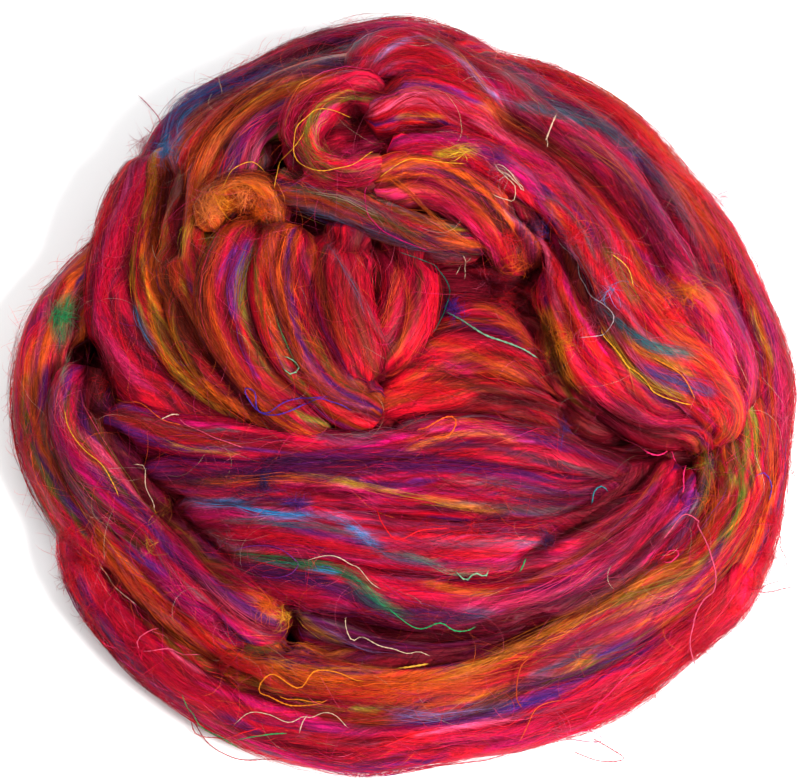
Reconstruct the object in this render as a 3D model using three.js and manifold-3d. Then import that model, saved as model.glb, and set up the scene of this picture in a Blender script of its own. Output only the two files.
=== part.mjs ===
// A nest of combed sari silk: one long, soft sliver of waste silk fibre, laid down in loose folds
// on a table. Units are millimetres, +Z is up, and z = 0 is the table.
import * as THREE from "three";
import { mergeVertices } from "three/addons/utils/BufferGeometryUtils.js";
import Module from "manifold-3d";

const wasm = await Module();
wasm.setup();

// Where the nest is looked at from. The picture's middle line of sight meets the table at AIM.
const VIEW = { elevation: 70, distance: 900 };
const AIM = { x: -1.2, y: -0.3 };

// How a fold of the sliver is faceted and shaped.
const SIDES = 10;
const RING_PITCH = 16;
const LEAST_RINGS = 6;
const CURVE_TENSION = 0.5;
const MERGE_WITHIN = 1e-4;
const END_LENGTH = 11;
const LEAST_END = 0.42;
const SWELL = { share: 0.07, pitch: 74 };
const LOCKS = [
  { count: 2, share: 0.05, pitch: 120 },
  { count: 3, share: 0.06, pitch: -165 },
];

// The heap of fibre that the folds lie on, which also fills the gaps between them.
const HEAP = { radius: 96, height: 38, fullness: 2.4, steps: 8, around: 36, back: 1 };
const TABLE_CUT = { side: 400, depth: 60 };

// Each fold's width and thickness, and its middle line: right and up in the picture plane
// through AIM, then the height above the table.
const FOLDS = [
  // the lowest turn, on the table
  {
    name: "rim_north", wide: 17, thick: 18,
    path: [
      [-86, 33, 9], [-79, 48, 9], [-71, 63, 9], [-65, 76, 9], [-51, 86, 9], [-28, 97, 9],
      [-14, 102, 9], [1, 104, 9], [15, 100, 9], [29, 91, 9],
    ],
  },
  {
    name: "rim_east", wide: 20, thick: 20,
    path: [
      [9, 100, 10], [26, 91, 10], [43, 88, 10], [56, 82, 10], [67, 73, 10], [77, 61, 10],
      [86, 52, 10], [95, 40, 10], [102, 23, 10], [107, 6, 10], [107, -12, 10], [106, -31, 10],
      [102, -46, 10], [94, -59, 10], [84, -70, 10],
    ],
  },
  {
    name: "rim_south", wide: 22, thick: 20,
    path: [
      [101, -49, 10], [95, -59, 10], [80, -73, 10], [60, -87, 10], [38, -94, 10], [14, -99, 10],
      [-9, -102, 10], [-31, -99, 10], [-50, -93, 10], [-67, -82, 10], [-79, -68, 10],
      [-88, -51, 10], [-91, -35, 10],
    ],
  },
  {
    name: "rim_west", wide: 20, thick: 20,
    path: [
      [-62, 62, 13], [-76, 50, 12], [-90, 34, 11], [-101, 18, 11], [-105, 2, 11], [-105, -12, 11],
      [-100, -27, 11], [-89, -44, 12], [-75, -61, 13], [-59, -76, 13], [-40, -88, 11],
    ],
  },
  // the second turn
  {
    name: "south_orange", wide: 22, thick: 19,
    path: [
      [-55, -79, 16], [-30, -85, 20], [-3, -87, 21], [21, -84, 21], [45, -76, 21], [69, -64, 20],
      [88, -49, 19], [99, -31, 18], [100, -13, 17], [94, 1, 15],
    ],
  },
  {
    name: "west_inner", wide: 21, thick: 18,
    path: [
      [-94, 8, 16], [-95, -8, 20], [-87, -25, 23], [-73, -41, 25], [-60, -55, 26], [-46, -66, 24],
      [-34, -74, 17],
    ],
  },
  {
    name: "west_middle", wide: 14, thick: 15,
    path: [
      [-97, -19, 16], [-87, -37, 18], [-75, -53, 19], [-58, -69, 20], [-41, -82, 17],
    ],
  },
  {
    name: "east_second", wide: 19, thick: 18,
    path: [
      [17, 97, 20], [36, 85, 22], [54, 76, 22], [70, 61, 22], [82, 44, 22], [90, 28, 20],
      [97, 8, 18], [100, -11, 16],
    ],
  },
  {
    name: "west_red", wide: 23, thick: 19,
    path: [
      [-67, 68, 16], [-78, 52, 18], [-83, 32, 20], [-80, 13, 22], [-67, -4, 24], [-48, -14, 26],
      [-24, -17, 28],
    ],
  },
  {
    name: "west_second", wide: 15, thick: 15,
    path: [
      [-69, 73, 20], [-72, 53, 23], [-73, 34, 26], [-68, 17, 28], [-55, 2, 30], [-38, -8, 32],
    ],
  },
  {
    name: "north_inner", wide: 13, thick: 15,
    path: [
      [-67, 70, 17], [-57, 79, 19], [-43, 87, 20], [-23, 94, 20], [-3, 99, 18],
    ],
  },
  // the broad band across the front, and the fold under its edge
  {
    name: "band_back", wide: 17, thick: 16,
    path: [
      [-89, -8, 24], [-69, -13, 28], [-42, -17, 32], [-15, -19, 35], [12, -16, 36], [39, -17, 34],
      [60, -24, 30], [75, -32, 25],
    ],
  },
  {
    name: "band_crown", wide: 19, thick: 17,
    path: [
      [-78, -26, 22], [-51, -27, 30], [-24, -29, 36], [3, -30, 38], [30, -32, 37], [54, -33, 32],
      [74, -30, 26],
    ],
  },
  {
    name: "band_middle", wide: 19, thick: 17,
    path: [
      [-69, -37, 24], [-48, -40, 29], [-24, -43, 35], [0, -46, 37], [24, -48, 36], [48, -44, 33],
      [67, -35, 29], [82, -20, 24],
    ],
  },
  {
    name: "band_front", wide: 19, thick: 17,
    path: [
      [-55, -50, 22], [-36, -55, 27], [-15, -59, 31], [6, -63, 33], [30, -63, 32], [53, -56, 30],
      [72, -42, 27], [87, -24, 22],
    ],
  },
  {
    name: "band_under", wide: 13, thick: 14,
    path: [
      [-34, -66, 20], [-16, -74, 23], [6, -77, 24], [30, -74, 24], [53, -67, 23], [72, -54, 22],
      [86, -38, 21], [92, -17, 20],
    ],
  },
  {
    name: "east_hollow", wide: 18, thick: 15,
    path: [
      [42, -12, 26], [63, -19, 22], [81, -16, 20], [94, -2, 18],
    ],
  },
  // the bowed fold on the left, and the lobe inside it
  {
    name: "arc_outer", wide: 20, thick: 17,
    path: [
      [-2, 94, 36], [-23, 91, 38], [-41, 82, 37], [-55, 70, 36], [-62, 53, 36], [-62, 34, 36],
      [-55, 14, 36], [-41, -2, 35], [-21, -12, 33],
    ],
  },
  {
    name: "arc_inner", wide: 13, thick: 13,
    path: [
      [-14, 90, 42], [-32, 82, 44], [-44, 73, 44], [-49, 60, 42], [-50, 46, 40],
    ],
  },
  {
    name: "lobe_west", wide: 19, thick: 16,
    path: [
      [-41, 50, 44], [-50, 32, 44], [-49, 14, 43], [-38, -1, 40], [-20, -11, 36],
    ],
  },
  {
    name: "lobe_middle", wide: 20, thick: 17,
    path: [
      [-30, 50, 47], [-35, 32, 48], [-31, 14, 47], [-20, 1, 43], [-5, -8, 37],
    ],
  },
  {
    name: "lobe_east", wide: 21, thick: 17,
    path: [
      [-15, 50, 47], [-19, 33, 49], [-16, 17, 48], [-9, 2, 41],
    ],
  },
  {
    name: "lobe_edge", wide: 24, thick: 16,
    path: [
      [-4, 48, 44], [1, 34, 46], [0, 19, 44], [-9, 5, 38],
    ],
  },
  // the low hump in the middle
  {
    name: "hump_back", wide: 14, thick: 14,
    path: [
      [10, 21, 36], [24, 24, 37], [37, 19, 36], [46, 7, 33],
    ],
  },
  {
    name: "hump_crown", wide: 20, thick: 17,
    path: [
      [-8, -1, 36], [6, 9, 39], [22, 13, 40], [39, 7, 38], [52, -5, 32],
    ],
  },
  {
    name: "hump_front", wide: 16, thick: 15,
    path: [
      [-15, -8, 34], [3, -2, 37], [22, 0, 37], [42, -4, 34], [60, -13, 28],
    ],
  },
  {
    name: "hollow_floor", wide: 20, thick: 16,
    path: [
      [9, 38, 32], [24, 37, 32], [38, 32, 33], [48, 19, 32],
    ],
  },
  // the thick arm that comes over the back and ends in a lobe on the right
  {
    name: "arm_outer", wide: 20, thick: 17,
    path: [
      [-14, 91, 46], [-4, 98, 47], [9, 98, 47], [24, 89, 47], [39, 76, 46], [56, 64, 46],
      [70, 49, 45], [82, 32, 43], [91, 19, 37], [97, 4, 26], [97, -10, 16],
    ],
  },
  {
    name: "arm_crown", wide: 21, thick: 18,
    path: [
      [-11, 82, 50], [6, 85, 51], [24, 78, 51], [42, 66, 51], [56, 49, 50], [65, 31, 49],
      [76, 14, 47], [87, 3, 39], [94, -6, 27], [95, -15, 17],
    ],
  },
  {
    name: "arm_inner", wide: 20, thick: 17,
    path: [
      [38, 54, 42], [47, 39, 42], [53, 20, 43], [62, 4, 42], [75, -7, 37], [87, -9, 28],
      [93, -14, 18],
    ],
  },
  {
    name: "arm_flank", wide: 15, thick: 14,
    path: [
      [43, 32, 38], [47, 14, 38], [53, -2, 36], [66, -12, 31],
    ],
  },
  // the curl at the top and the short folds below it
  {
    name: "curl_floor", wide: 22, thick: 14,
    path: [
      [-34, 70, 42], [-18, 77, 43], [0, 80, 44], [16, 74, 44],
    ],
  },
  {
    name: "curl", wide: 13, thick: 13,
    path: [
      [-2, 88, 52], [-14, 89, 53], [-25, 85, 53], [-30, 76, 53], [-26, 67, 54], [-14, 64, 55],
      [-2, 68, 55],
    ],
  },
  {
    name: "brow", wide: 12, thick: 12,
    path: [
      [-38, 64, 49], [-23, 59, 52], [-8, 53, 53], [9, 46, 51], [26, 43, 44],
    ],
  },
  {
    name: "eye", wide: 17, thick: 14,
    path: [
      [-10, 63, 54], [8, 64, 55], [22, 58, 54], [34, 46, 48], [38, 35, 40],
    ],
  },
  {
    name: "lid", wide: 14, thick: 13,
    path: [
      [-4, 72, 55], [10, 73, 57], [27, 68, 56], [40, 58, 52], [47, 46, 46],
    ],
  },
  {
    name: "tuft", wide: 12, thick: 9,
    path: [
      [-54, 48, 45], [-57, 55, 47], [-49, 60, 49], [-40, 58, 49], [-37, 48, 46],
    ],
  },
];

// The point of the nest that shows at (right, up) in the picture plane and lies at this height.
function seen([right, up, high]) {
  const lift = THREE.MathUtils.degToRad(VIEW.elevation);
  const towardsEye = new THREE.Vector3(0, -Math.cos(lift), Math.sin(lift));
  const pictureUp = new THREE.Vector3(0, Math.sin(lift), Math.cos(lift));
  const eye = towardsEye.clone().multiplyScalar(VIEW.distance);
  const sight = new THREE.Vector3(right, 0, 0).addScaledVector(pictureUp, up).sub(eye);
  const reach = (high - eye.z) / sight.z;
  return eye.addScaledVector(sight, reach).add(new THREE.Vector3(AIM.x, AIM.y, 0));
}

// How full the fold is at a distance from its nearer end, which is drawn in and rounded.
function fullness(fromEnd) {
  const inside = Math.min(fromEnd / END_LENGTH, 1);
  return LEAST_END + (1 - LEAST_END) * Math.sqrt(1 - (1 - inside) ** 2);
}

function wave(along, pitch) {
  return (2 * Math.PI * along) / pitch;
}

// The sliver's section is an oval with a few soft locks that turn slowly along the fold.
function lobed(angle, along, phase) {
  return LOCKS.reduce(
    (sum, { count, share, pitch }) => sum + share * Math.sin(count * angle + wave(along, pitch) + phase),
    1,
  );
}

// One fold: a closed cylinder whose rings are set on the fold's middle line. Its phase, in radians,
// makes its locks and swellings its own.
function foldGeometry({ wide, thick, path }, phase) {
  const line = new THREE.CatmullRomCurve3(path.map(seen), false, "catmullrom", CURVE_TENSION);
  const length = line.getLength();
  const rings = Math.max(LEAST_RINGS, Math.round(length / RING_PITCH));
  const geometry = new THREE.CylinderGeometry(1, 1, 1, SIDES, rings);
  const place = geometry.attributes.position;
  for (let i = 0; i < place.count; i += 1) {
    const share = THREE.MathUtils.clamp(place.getY(i) + 1 / 2, 0, 1);
    const along = share * length;
    const tangent = line.getTangentAt(share);
    const side = new THREE.Vector3(0, 0, 1).cross(tangent).normalize();
    const top = tangent.clone().cross(side);
    const angle = Math.atan2(place.getZ(i), place.getX(i));
    const swell = 1 + SWELL.share * Math.sin(wave(along, SWELL.pitch) + phase);
    const reach = Math.hypot(place.getX(i), place.getZ(i)) * fullness(Math.min(along, length - along))
      * swell * lobed(angle, along, phase);
    const point = line.getPointAt(share)
      .addScaledVector(side, (-wide / 2) * reach * Math.cos(angle))
      .addScaledVector(top, (thick / 2) * reach * Math.sin(angle));
    place.setXYZ(i, point.x, point.y, point.z);
  }
  return geometry;
}

function heapGeometry() {
  const { radius, height, fullness: power, steps, around } = HEAP;
  const profile = [new THREE.Vector2(0, 0)];
  for (let step = 0; step <= steps; step += 1) {
    const share = 1 - step / steps;
    profile.push(new THREE.Vector2(radius * share, height * (1 - share ** power)));
  }
  const geometry = new THREE.LatheGeometry(profile, around);
  return geometry.rotateX(Math.PI / 2).translate(AIM.x, AIM.y + HEAP.back, 0);
}

function solid(geometry) {
  const bare = geometry.index ? geometry.toNonIndexed() : geometry.clone();
  bare.deleteAttribute("normal");
  bare.deleteAttribute("uv");
  const merged = mergeVertices(bare, MERGE_WITHIN);
  return new wasm.Manifold(new wasm.Mesh({
    numProp: 3,
    vertProperties: merged.attributes.position.array,
    triVerts: new Uint32Array(merged.index.array),
  }));
}

function geometryOf(body) {
  const { vertProperties, triVerts } = body.getMesh();
  return new THREE.BufferGeometry()
    .setAttribute("position", new THREE.BufferAttribute(vertProperties, 3))
    .setIndex(new THREE.BufferAttribute(triVerts, 1));
}

// The folds and the heap as one body, flat where it lies on the table. Small voids that are shut
// in between folds are left out of it.
function nestGeometry() {
  let body = solid(heapGeometry());
  FOLDS.forEach((fold, order) => {
    body = body.add(solid(foldGeometry(fold, order)));
  });
  const below = new THREE.BoxGeometry(TABLE_CUT.side, TABLE_CUT.side, TABLE_CUT.depth);
  body = body.subtract(solid(below.translate(0, 0, -TABLE_CUT.depth / 2)));
  const skins = body.decompose();
  return geometryOf(skins.reduce((best, skin) => (skin.volume() > best.volume() ? skin : best)));
}

const silk = new THREE.MeshStandardMaterial({ color: 0xb3163a, roughness: 0.55, metalness: 0 });
const nest = new THREE.Mesh(nestGeometry(), silk);
nest.name = "silk_nest";

const part = new THREE.Group();
part.add(nest);

export default part;
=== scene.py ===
"""Looks of a nest of combed sari silk: one soft sliver of waste silk laid down in loose folds.

Lengths are in millimetres until a mesh is made. The folds are those of the part's source. Locks of
fibre lie along them, streaks and spun threads are placed where the photo shows them, and stray
fibres cross over the folds.
"""

import math

import bpy
import numpy as np
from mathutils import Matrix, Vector
from mathutils.bvhtree import BVHTree


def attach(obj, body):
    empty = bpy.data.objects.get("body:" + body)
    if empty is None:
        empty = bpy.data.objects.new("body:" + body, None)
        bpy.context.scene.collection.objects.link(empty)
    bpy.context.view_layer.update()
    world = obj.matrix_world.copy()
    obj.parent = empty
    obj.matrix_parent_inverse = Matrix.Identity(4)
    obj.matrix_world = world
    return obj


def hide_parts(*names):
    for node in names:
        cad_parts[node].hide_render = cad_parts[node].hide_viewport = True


MM = 0.001
TURN = 2 * math.pi
SEED = 7361

# Where the nest is looked at from. The middle of the picture meets the table at AIM.
ELEVATION = math.radians(70)
DISTANCE = 900.0
AIM = np.array([-1.2, -0.3, 0.0])
PHOTO_SIZE = (800, 784)
PIXEL = 0.3
RIGHT = np.array([1.0, 0.0, 0.0])
UP = np.array([0.0, 0.0, 1.0])
TOWARDS_EYE = np.array([0.0, -math.cos(ELEVATION), math.sin(ELEVATION)])
PICTURE_UP = np.array([0.0, math.sin(ELEVATION), math.cos(ELEVATION)])
EYE = AIM + DISTANCE * TOWARDS_EYE

# The shape of a fold: the same numbers as in the part's source, and finer ridges.
END_LENGTH = 11.0
LEAST_END = 0.16
SWELL = (0.07, 74.0)
LOCKS = ((2, 0.05, 120.0), (3, 0.06, -165.0))
RIDGES = ((7, 0.022, 64.0), (11, 0.016, -47.0), (17, 0.009, 38.0))
LEAST_Z = 0.12

# The heap of fibre under the folds.
HEAP = {"radius": 96.0, "height": 38.0, "fullness": 2.4, "back": 1.0}
HEAP_STEPS = 9
HEAP_SIDES = 48
HEAP_TOP = 0.06
HEAP_MAP = 2.2

# The mesh of a fold's skin. Its points stand closer together on top than below.
SKIN_PITCH = 2.6
SKIN_RINGS = 16
SKIN_SIDES = 40
SKIN_CROWDING = 0.45
END_PINCH = 0.02

# Grooves between the locks of a fold.
LEAST_FURROWS = 4
AREA_PER_FURROW = 330
FURROW_HALF = (9, 36)
FURROW_DEPTH = (0.35, 2.0)
FURROW_WIDTH = (0.55, 1.5)
FURROW_SLOPE = 0.09
FURROW_SWAY = (0.2, 1.3)
FURROW_PITCH = 33.0
DEEPEST_FURROW = 2.2
FURROW_SHADE = 0.7

# Gaps between folds: shares of the gap's width and length, and of the fold's thickness.
GAP_SPAN = 10
GAP_REACH = 1.3
GAP_CORE = 0.5
GAP_ENDS = 0.15
GAP_BELOW = 0.5
DEEPEST_GAP = 0.3

# Stretches of one colour on a fold.
LEAST_PATCHES = 6
AREA_PER_PATCH = 95
PATCH_LENGTH = 30
PATCH_WIDTH = 1.7
PATCH_TONE = (-0.05, 0.32)
PATCH_SWAY = 0.12
PATCH_PITCH = 52.0

# Light on the fibre. The sky is looked for along rays: tilt, number of rays, weight.
SKY = ((0.0, 1, 1.4), (0.45, 6, 1.0), (0.9, 8, 0.8), (1.3, 8, 0.5))
STAGGERED_TILT = 0.5
RAY_START = 0.9
RAY_LENGTH = 90.0
INTO_THE_FOLD = -0.2
TABLE_RAY_RISE = 0.05
TABLE_LIGHT = 0.75
TABLE_LIGHT_HEIGHT = 24.0
LEAST_OPENNESS = 0.03
FIBRE_OPENNESS = 1.5 * LEAST_OPENNESS
LEAST_LIGHT = 0.03
DARK_OPENNESS = 0.10
OPENNESS_RANGE = 0.66
HEAP_LIGHT = 0.5

# Clumps of fibre that follow the folds.
FIBRES = 12700
FIBRE_PIECES = 4
FIBRE_POINTS = 8
FIBRE_RADIUS = (0.024, 0.07)
FIBRES_IN_CLUMP = 9
LEAST_CLUMPS = 2
CLUMP_LENGTH = (18.0, 58.0)
LONGEST_CLUMP = 0.9
CLUMP_WIDTH = (1.5, 6.0)
CLUMP_BASE = (-0.2, 0.9)
CLUMP_DEPTH = 0.9
CLUMP_SLANT = 0.14
CLUMP_BEND = 0.7
CLUMP_BEND_PITCH = 2.4
CLUMP_NARROWING = 0.5
HIDDEN_CELL_WEIGHT = 0.25

# How each fibre of a clump differs from its neighbours.
FIBRE_SHARE = (0.55, 1.0)
FIBRE_SPREAD = 0.36
FIBRE_SLANT = 0.13
FIBRE_WANDER = (0.15, 0.8)
WANDER_PITCH = (8, 20)
LONG_PITCH = 31.0
END_DIP = 0.9
SECOND_COLOUR_SHARE = 0.3
ODD_COLOUR_SHARE = 0.2

# Fibre draped over what the camera sees.
SAG = 1.6
SAG_ROUNDS = 4
NORMAL_ROUNDS = 2
LONGEST_STEP = 13.0

# Streaks of one colour.
STREAK_AREA_PER_FIBRE = 22
STREAK_FIBRES_AT_LEAST = 3
STREAK_LENGTH = (18, 52)
STREAK_START = (-0.06, 1.06)
STREAK_ENDS = 0.35
STREAK_ENDS_POWER = 0.6
STREAK_SPREAD = 0.38
STREAK_SWAY = 0.25
STREAK_PITCH = 19.0
STREAK_SLANT = 0.03
STREAK_LIFT = (0.5, 1.7)
PAINT_SPAN = 8
PAINT_ENDS = 0.12
PAINT_CORE = 0.45
PAINT_DEPTH = 1.4
PAINT_STRENGTH = 0.45
FULLEST_PAINT = 0.92

# Small tangles.
TANGLE_RADIUS = (0.022, 0.055)
TANGLE_LENGTH = (3, 11)
TANGLE_SPREAD = 0.55
TANGLE_CURL = 0.16
TANGLE_CURL_CHANGE = 0.08
TANGLE_GATHERING = 0.6
TANGLE_LIFT = 0.5
TANGLE_LIFT_GAMMA = (2.0, 0.35)
TANGLE_LIFT_RANGE = (-0.2, 0.5)

# Loose fibres that lie over the folds.
STRAY_FIBRES = 3700
STRAY_POINTS = 8
STRAY_RADIUS = (0.014, 0.036)
STRAY_LENGTH = (5, 21)
STRAY_ANGLES = (0.1 * math.pi, 0.9 * math.pi)
STRAY_TURN = 0.5
STRAY_CURL = 0.08
STRAY_CURL_CHANGE = 0.04
STRAY_FALL = 0.5
STRAY_LIFT = 0.2
STRAY_LIFT_GAMMA = (2.0, 0.3)
# Stray fibre colours are brightened by this much, as a painted highlight.
STRAY_PAINTED_HIGHLIGHT = 1.25
RAY_TOP = 200.0
ON_THE_NEST = 0.5
FARTHEST = 118.0

# Fuzz round the rim.
FUZZ_FIBRES = 2300
FUZZ_POINTS = 6
FUZZ_RADIUS = (0.018, 0.042)
FUZZ_LENGTH = (2.5, 10)
FUZZ_RISE = (-0.25, 1.1)
FUZZ_SHARE = (0.03, 0.97)
FUZZ_LEAN = (0.05, 0.8)
FUZZ_SCATTER = 0.12
FUZZ_CURVE = (0.2, 1.0)
FUZZ_CURVE_PITCH = 1.3
FUZZ_CURVE_PHASE = (0, 6)
FUZZ_BEND = 0.12
# Rim fuzz colours are brightened by this much, as painted light.
FUZZ_PAINTED_LIGHT = 1.5

# Spun threads of two strands.
THREAD_STEP = 1.4
THREAD_POINTS = 8
THREAD_SIDES = 5
THREAD_SAG = 0.6
THREAD_STRAND = 0.72
THREAD_TWIST = (9, 1.2)

# Colours: how deep the dye is, how much painted shade darkens the fold skin under the fibre, how much tones
# differ, and how bright loose fibre gets with its painted light.
DEPTH_OF_DYE = 0.62
# The fold skin under the fibre is darkened by this much, as painted shade.
SKIN_SHADE_UNDER_FIBRE = 0.75
TONE_SPREAD = {"fold": 0.3, "streak": 0.17, "tangle": 0.25, "stray": 0.3, "fuzz": 0.2, "thread": 0.08}
# A few fibres are paled towards rose as a painted highlight: the chance, and how far.
HIGHLIGHT_CHANCE = 0.08
HIGHLIGHT_SHARE = (0.1, 0.35)
BRIGHTEST = 0.9
STREAK_LIGHT_POWER = 0.8
LOOSE_LIGHT_POWER = 0.6

# Tubes: how steep one is before it is turned by another guide, and how its ends taper.
STEEP = 0.8
TAPER = (0.14, 0.86)

# The grain of a skin: sways (size and pitch), and how far it is stretched along the fold.
GRAIN_SWAYS = ((0.25, 61.0), (0.1, 23.0))
GRAIN_STRETCH = 0.05
GRAIN_STEP = 40

# Surfaces: sheen, the two kinds of fibre, the skin of a fold, and the floor.
SHINE_INDEX = 1.3
SHINE_LEVEL = 0.25
SHINE_TINT = (1.0, 0.48, 0.5, 1.0)
FIBRE_LOOK = {"roughness": (0.22, 0.38), "grain": 500, "bump": 0.02}
THREAD_LOOK = {"roughness": (0.4, 0.6), "grain": 1500, "bump": 0.1}
FIBRE_TONES = (0.72, 1.2)
FIBRE_FINENESS = 6
FIBRE_BUMP_STRENGTH = 0.6
FOLD_ROUGHNESS = (0.34, 0.58)
FOLD_SECOND_COLOUR = (-0.1, 0.9, 0.42, 0.66)
FOLD_FINE_TONES = (0.45, 1.55)
FOLD_BROAD_TONES = (0.6, 1.35)
FOLD_BUMP = (0.8, 0.35)
FOLD_NOISES = ((0.55, 5), (1.7, 4), (0.12, 2))
HAIR_LINES = ((3.0, 0.9, 0.022), (7.0, 0.6, 0.016), (5.0, 1.4, 0.03))
HAIR_LINE_STRENGTH = 0.55
FLOOR_ROUGHNESS = 0.8
FLOOR_SHINE = 0.2
FLOOR_GRAIN = 3
FLOOR_TONES = ((0.90, 0.905, 0.91, 1), (0.93, 0.93, 0.93, 1))

# Room for each tube or fold in the map of the surface.
MAP_COLUMNS = 6
MAP_FILL = 0.96
TUBE_MAP_FILL = 0.8

# Stage, in metres and watts: each light's place, size, power and colour.
FLOOR_SIDE = 2.5
LIGHTS = {
    "key": ((0.60, -0.40, 0.75), 0.4, 26.0, (1.0, 0.98, 0.96)),
    "overhead": ((-0.15, 0.2, 1.3), 1.2, 9.0, (1, 1, 1)),
}
ROOM_LIGHT = 0.65
SENSOR_WIDTH = 36

# Colours as they look on a screen.
COLOURS = {
    "crimson": (196, 12, 52), "scarlet": (232, 24, 34), "red": (214, 14, 38),
    "magenta": (190, 10, 92), "pink": (236, 40, 106), "rose": (214, 74, 108),
    "wine": (136, 8, 38), "maroon": (84, 6, 22), "plum": (80, 18, 62),
    "purple": (98, 26, 104), "violet": (66, 38, 144), "blue": (34, 66, 160),
    "azure": (14, 150, 226), "teal": (16, 112, 124), "green": (22, 146, 88),
    "olive": (118, 108, 34), "gold": (232, 158, 40), "yellow": (224, 168, 58),
    "amber": (230, 128, 24), "orange": (232, 92, 24), "rust": (178, 60, 22),
    "brown": (104, 40, 24), "smoke": (112, 92, 104), "slate": (76, 92, 124),
    "cream": (206, 176, 150), "mint": (112, 160, 130), "lilac": (150, 128, 188),
    "pearl": (176, 156, 160), "jade": (24, 92, 84), "mauve": (146, 42, 84), "navy": (22, 34, 84),
    "leaf": (96, 124, 36), "apricot": (255, 132, 60), "sun": (250, 204, 50),
    "sky": (40, 176, 255),
}

# What a fold is dyed with: colours and their weights.
PALETTES = {
    "plum": {"plum": 4, "purple": 3, "crimson": 3, "magenta": 2, "maroon": 2, "blue": 1, "violet": 1},
    "bright": {"crimson": 5, "red": 4, "scarlet": 4, "rust": 2, "rose": 2, "magenta": 1, "wine": 2,
               "orange": 2, "mauve": 2, "purple": 1, "brown": 1},
    "rim": {"crimson": 7, "red": 5, "wine": 3, "magenta": 2, "purple": 2, "rose": 1, "scarlet": 2},
    "west": {"crimson": 6, "rust": 3, "orange": 2, "purple": 2, "rose": 1, "olive": 1, "red": 3, "wine": 1},
    "orange": {"amber": 2, "orange": 2, "rust": 4, "red": 4, "brown": 2, "crimson": 3, "purple": 2,
               "olive": 1},
    "rose": {"crimson": 3, "rose": 2, "magenta": 2, "purple": 4, "brown": 3, "olive": 2, "red": 1,
             "smoke": 2},
    "dusk": {"purple": 3, "smoke": 2, "crimson": 3, "rust": 1, "plum": 3, "mauve": 4, "wine": 3, "red": 1},
    "magenta": {"crimson": 7, "magenta": 2, "pink": 1, "red": 4, "wine": 3, "purple": 1, "scarlet": 1,
                "mauve": 3},
    "band": {"crimson": 5, "magenta": 1, "purple": 4, "red": 1, "mauve": 2, "wine": 5, "plum": 3,
             "smoke": 1},
    "under": {"plum": 4, "maroon": 3, "purple": 3, "crimson": 2, "wine": 3, "smoke": 1},
    "ember": {"rust": 5, "orange": 4, "crimson": 2, "brown": 3, "gold": 1, "purple": 1, "red": 2},
    "lobe": {"crimson": 2, "rust": 4, "brown": 4, "red": 3, "purple": 2, "orange": 1, "wine": 3,
             "olive": 1},
    "hump": {"crimson": 3, "red": 4, "wine": 4, "rust": 2, "brown": 2, "maroon": 1, "scarlet": 1},
    "hollow": {"maroon": 4, "wine": 4, "crimson": 2, "red": 1},
    "curl": {"crimson": 4, "red": 2, "olive": 1, "brown": 1, "wine": 2, "pink": 1},
    "brow": {"olive": 2, "smoke": 2, "plum": 2, "crimson": 2, "rust": 2, "wine": 1},
    "eye": {"pink": 1, "crimson": 4, "orange": 3, "scarlet": 1, "mauve": 2, "rust": 2, "brown": 1},
    "tuft": {"orange": 3, "rust": 4, "brown": 2, "amber": 1},
}

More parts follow.
